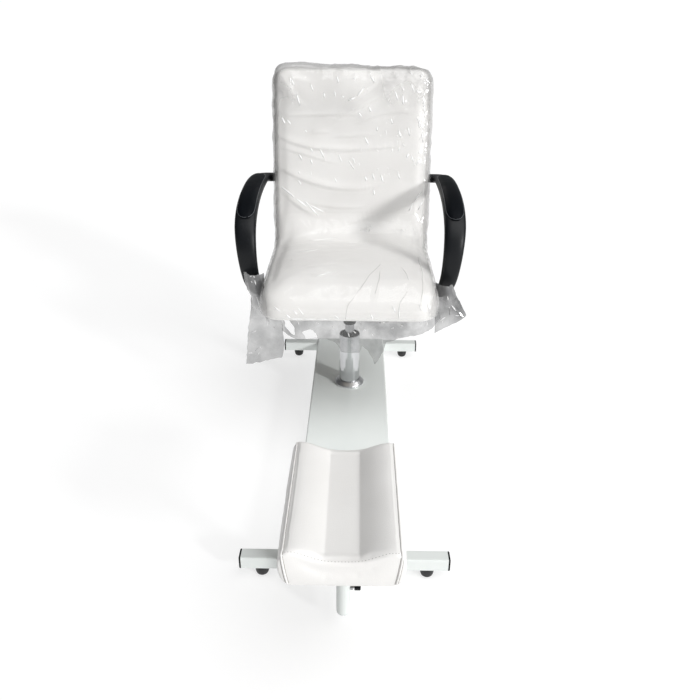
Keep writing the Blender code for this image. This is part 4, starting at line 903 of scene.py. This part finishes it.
def hung(name, one, other, counts, depth_at, holes, ruffle, material, node):
    """A loose sheet between two bent edges of (x, z), set back by depth_at(share across, x, z) and
    ruffled, with frayed borders and holes torn in it."""
    bm = bmesh.new()
    bmesh.ops.create_grid(bm, x_segments=counts[0], y_segments=counts[1], size=0.5)
    for vert in bm.verts:
        across, down = vert.co.x + 0.5, vert.co.y + 0.5
        a, b = along(one, down), along(other, down)
        x, z = a + (b - a) * across
        vert.co = (x, depth_at(across, x, z), z)
    torn = [f for f in bm.faces if any(within(f.calc_center_median().xz, hole) for hole in holes)]
    bmesh.ops.delete(bm, geom=torn, context="FACES")
    edges = [v for v in bm.verts if v.is_boundary]
    for _ in range(2):
        bmesh.ops.smooth_vert(bm, verts=edges, factor=0.5, use_axis_x=True, use_axis_y=True, use_axis_z=True)
    for vert in edges:
        vert.co += noise.noise_vector(vert.co * 80.0) * FRAY
    bm.normal_update()
    if sum(f.normal.y for f in bm.faces) > 0.0:
        bmesh.ops.reverse_faces(bm, faces=bm.faces)
    sheet = piece(name, bm, material, "seat", "clear_film", node)
    places, _ = points_of(sheet.data)
    broad, fine = ridged(places, 13.0, (1.0, 1.0, 0.45)), ridged(places, 34.0, (1.0, 1.0, 0.6))
    places[:, 1] -= ruffle * (broad + 0.28 * fine - 0.6)
    set_points(sheet.data, places)
    return sheet


def bunched(name, dark, light):
    """Film of several layers, nearly closed where it is bunched at the arm and thinner below."""
    material = film_finish(name, dark, light, (1.10, 0.74), 0.0012)
    tree = material.node_tree
    alpha = tree.nodes["Principled BSDF"].inputs["Alpha"]
    patchy = alpha.links[0].from_socket
    where = tree.nodes.new("ShaderNodeTexCoord").outputs["Object"]
    height = add(tree, "ShaderNodeSeparateXYZ", links={"Vector": where})
    thick = add(
        tree, "ShaderNodeMapRange", {"From Min": 0.33, "From Max": 0.38, "To Min": 0.60, "To Max": 0.94},
        {"Value": height.outputs["Z"]},
    )
    layers = {0: thick.outputs["Result"], 1: patchy}
    both = add(tree, "ShaderNodeMath", links=layers, operation="MULTIPLY", use_clamp=True)
    tree.links.new(both.outputs[0], alpha)
    return material


layered_shade_film = film_finish("layered_shade_film", (0.06, 0.062, 0.065), (0.24, 0.24, 0.24), (0.70, 0.38), 0.0014)
bunched_shade_film = bunched("bunched_shade_film", (0.15, 0.152, 0.155), (0.26, 0.26, 0.26))
# A darker copy of the same film for the right tail: painted shade.
darker_shade_film = bunched("darker_shade_film", (0.065, 0.067, 0.07), (0.15, 0.15, 0.15))
LEFT_OUTER = (
    (-0.300, 0.474), (-0.300, 0.446), (-0.292, 0.416), (-0.283, 0.396), (-0.283, 0.363), (-0.290, 0.318),
    (-0.302, 0.216), (-0.3055, 0.191),
)
LEFT_INNER = (
    (-0.2418, 0.470), (-0.2418, 0.402), (-0.2415, 0.386), (-0.226, 0.361), (-0.193, 0.345), (-0.1894, 0.302),
    (-0.1894, 0.247), (-0.196, 0.217),
)
RIGHT_OUTER = ((0.290, 0.446), (0.306, 0.406), (0.336, 0.357), (0.327, 0.350))
RIGHT_INNER = ((0.2425, 0.450), (0.2425, 0.400), (0.2440, 0.372), (0.2446, 0.302))
SKIRT_TOP = ((-0.192, 0.3812), (0.250, 0.3812))
SKIRT_FOOT = (
    (-0.192, 0.308), (-0.148, 0.307), (-0.128, 0.307), (-0.089, 0.3105), (-0.075, 0.3115), (-0.040, 0.304),
    (-0.026, 0.285), (-0.021, 0.271), (0.006, 0.270), (0.031, 0.271), (0.036, 0.294), (0.054, 0.278),
    (0.068, 0.248), (0.074, 0.229), (0.084, 0.248), (0.096, 0.271), (0.103, 0.304), (0.171, 0.323), (0.225, 0.334),
    (0.262, 0.350),
)
SKIRT_HOLES = (
    ((-0.185, 0.370), (-0.168, 0.356), (-0.153, 0.337), (-0.150, 0.321), (-0.161, 0.317), (-0.180, 0.330)),
    ((-0.1285, 0.3325), (-0.121, 0.339), (-0.102, 0.338), (-0.0905, 0.322), (-0.0906, 0.3135), (-0.120, 0.312)),
)
LEFT_GLINTS = (
    ((-0.243, 0.17, 0.357), (-0.229, 0.17, 0.326), 0.0020), ((-0.238, 0.17, 0.350), (-0.228, 0.17, 0.338), 0.0014),
    ((-0.297, 0.17, 0.224), (-0.281, 0.17, 0.230), 0.0016), ((-0.280, 0.17, 0.232), (-0.262, 0.17, 0.254), 0.0011),
    ((-0.280, 0.17, 0.299), (-0.270, 0.17, 0.306), 0.0011), ((-0.220, 0.17, 0.318), (-0.206, 0.17, 0.311), 0.0011),
    ((-0.262, 0.17, 0.256), (-0.256, 0.17, 0.246), 0.0010), ((-0.263, 0.17, 0.410), (-0.256, 0.17, 0.375), 0.0012),
    ((-0.240, 0.17, 0.340), (-0.236, 0.17, 0.318), 0.0016), ((-0.272, 0.17, 0.222), (-0.266, 0.17, 0.234), 0.0014),
    ((-0.296, 0.17, 0.464), (-0.280, 0.17, 0.468), 0.0018), ((-0.270, 0.17, 0.468), (-0.256, 0.17, 0.462), 0.0018),
    ((-0.288, 0.17, 0.452), (-0.276, 0.17, 0.446), 0.0014), ((-0.262, 0.17, 0.455), (-0.250, 0.17, 0.440), 0.0016),
)
RIGHT_GLINTS = (
    ((0.2855, 0.17, 0.388), (0.2836, 0.17, 0.354), 0.0015), ((0.295, 0.17, 0.394), (0.309, 0.17, 0.374), 0.0015),
    ((0.300, 0.17, 0.360), (0.318, 0.17, 0.362), 0.0012), ((0.256, 0.17, 0.340), (0.272, 0.17, 0.353), 0.0014),
    ((0.262, 0.17, 0.330), (0.268, 0.17, 0.345), 0.0010), ((0.274, 0.17, 0.420), (0.279, 0.17, 0.404), 0.0012),
)
SKIRT_GLINTS = (
    ((0.058, 0.11, 0.379), (0.074, 0.11, 0.364), 0.0022), ((0.076, 0.11, 0.362), (0.098, 0.11, 0.364), 0.0026),
    ((0.095, 0.11, 0.365), (0.117, 0.11, 0.371), 0.0018), ((0.010, 0.11, 0.336), (0.016, 0.11, 0.330), 0.0024),
    ((-0.002, 0.11, 0.332), (0.002, 0.11, 0.318), 0.0014), ((0.196, 0.11, 0.372), (0.199, 0.11, 0.362), 0.0014),
    ((-0.158, 0.11, 0.366), (-0.146, 0.11, 0.350), 0.0014), ((0.030, 0.11, 0.372), (0.038, 0.11, 0.356), 0.0012),
    ((0.222, 0.12, 0.368), (0.226, 0.12, 0.345), 0.0020), ((0.118, 0.11, 0.348), (0.124, 0.11, 0.352), 0.0014),
    ((0.040, 0.11, 0.346), (0.052, 0.11, 0.338), 0.0022), ((0.020, 0.11, 0.352), (0.026, 0.11, 0.340), 0.0018),
    ((0.062, 0.11, 0.330), (0.072, 0.11, 0.322), 0.0016), ((-0.046, 0.11, 0.352), (-0.038, 0.11, 0.338), 0.0014),
    ((0.140, 0.11, 0.362), (0.150, 0.11, 0.356), 0.0014), ((-0.092, 0.11, 0.362), (-0.080, 0.11, 0.356), 0.0014),
)


def at_arm(across, x, z):
    """How far back a tail hangs: in front of the arm, its upper part wrapped round the arm's foot."""
    return 0.186 + 0.030 * (2.0 * across - 1.0) ** 2 * min(1.0, max(0.0, (z - 0.34) / 0.05))


def at_seat(across, x, z):
    """How far back the skirt hangs: under the seat's front, its ends drawn back to the tails."""
    left, right = max(0.0, (-0.115 - x) / 0.077), max(0.0, (x - 0.185) / 0.070)
    return 0.119 + 0.060 * left**2 + 0.060 * right**2


noise.seed_set(11)
for name, node, one, other, counts, depth_at, holes, ruffle, material, flat, area, strokes in (
    ("film_tail_left_torn", "film_tail_left", LEFT_OUTER, LEFT_INNER, (44, 110), at_arm, (), 0.010, bunched_shade_film,
     (0.13, 0.29), 0.026, LEFT_GLINTS),
    ("film_tail_right_torn", "film_tail_right", RIGHT_INNER, RIGHT_OUTER, (40, 60), at_arm, (), 0.009, darker_shade_film,
     (0.10, 0.15), 0.0095, RIGHT_GLINTS),
    ("film_skirt_torn", "film_skirt", SKIRT_TOP, SKIRT_FOOT, (34, 180), at_seat, SKIRT_HOLES, 0.009, layered_shade_film,
     (0.46, 0.16), 0.036, SKIRT_GLINTS),
):
    end = hung(name, one, other, counts, depth_at, holes, ruffle, material, node)
    marks = painted_glints(name.replace("torn", "glints"), skin_of(end), strokes, glint_film)
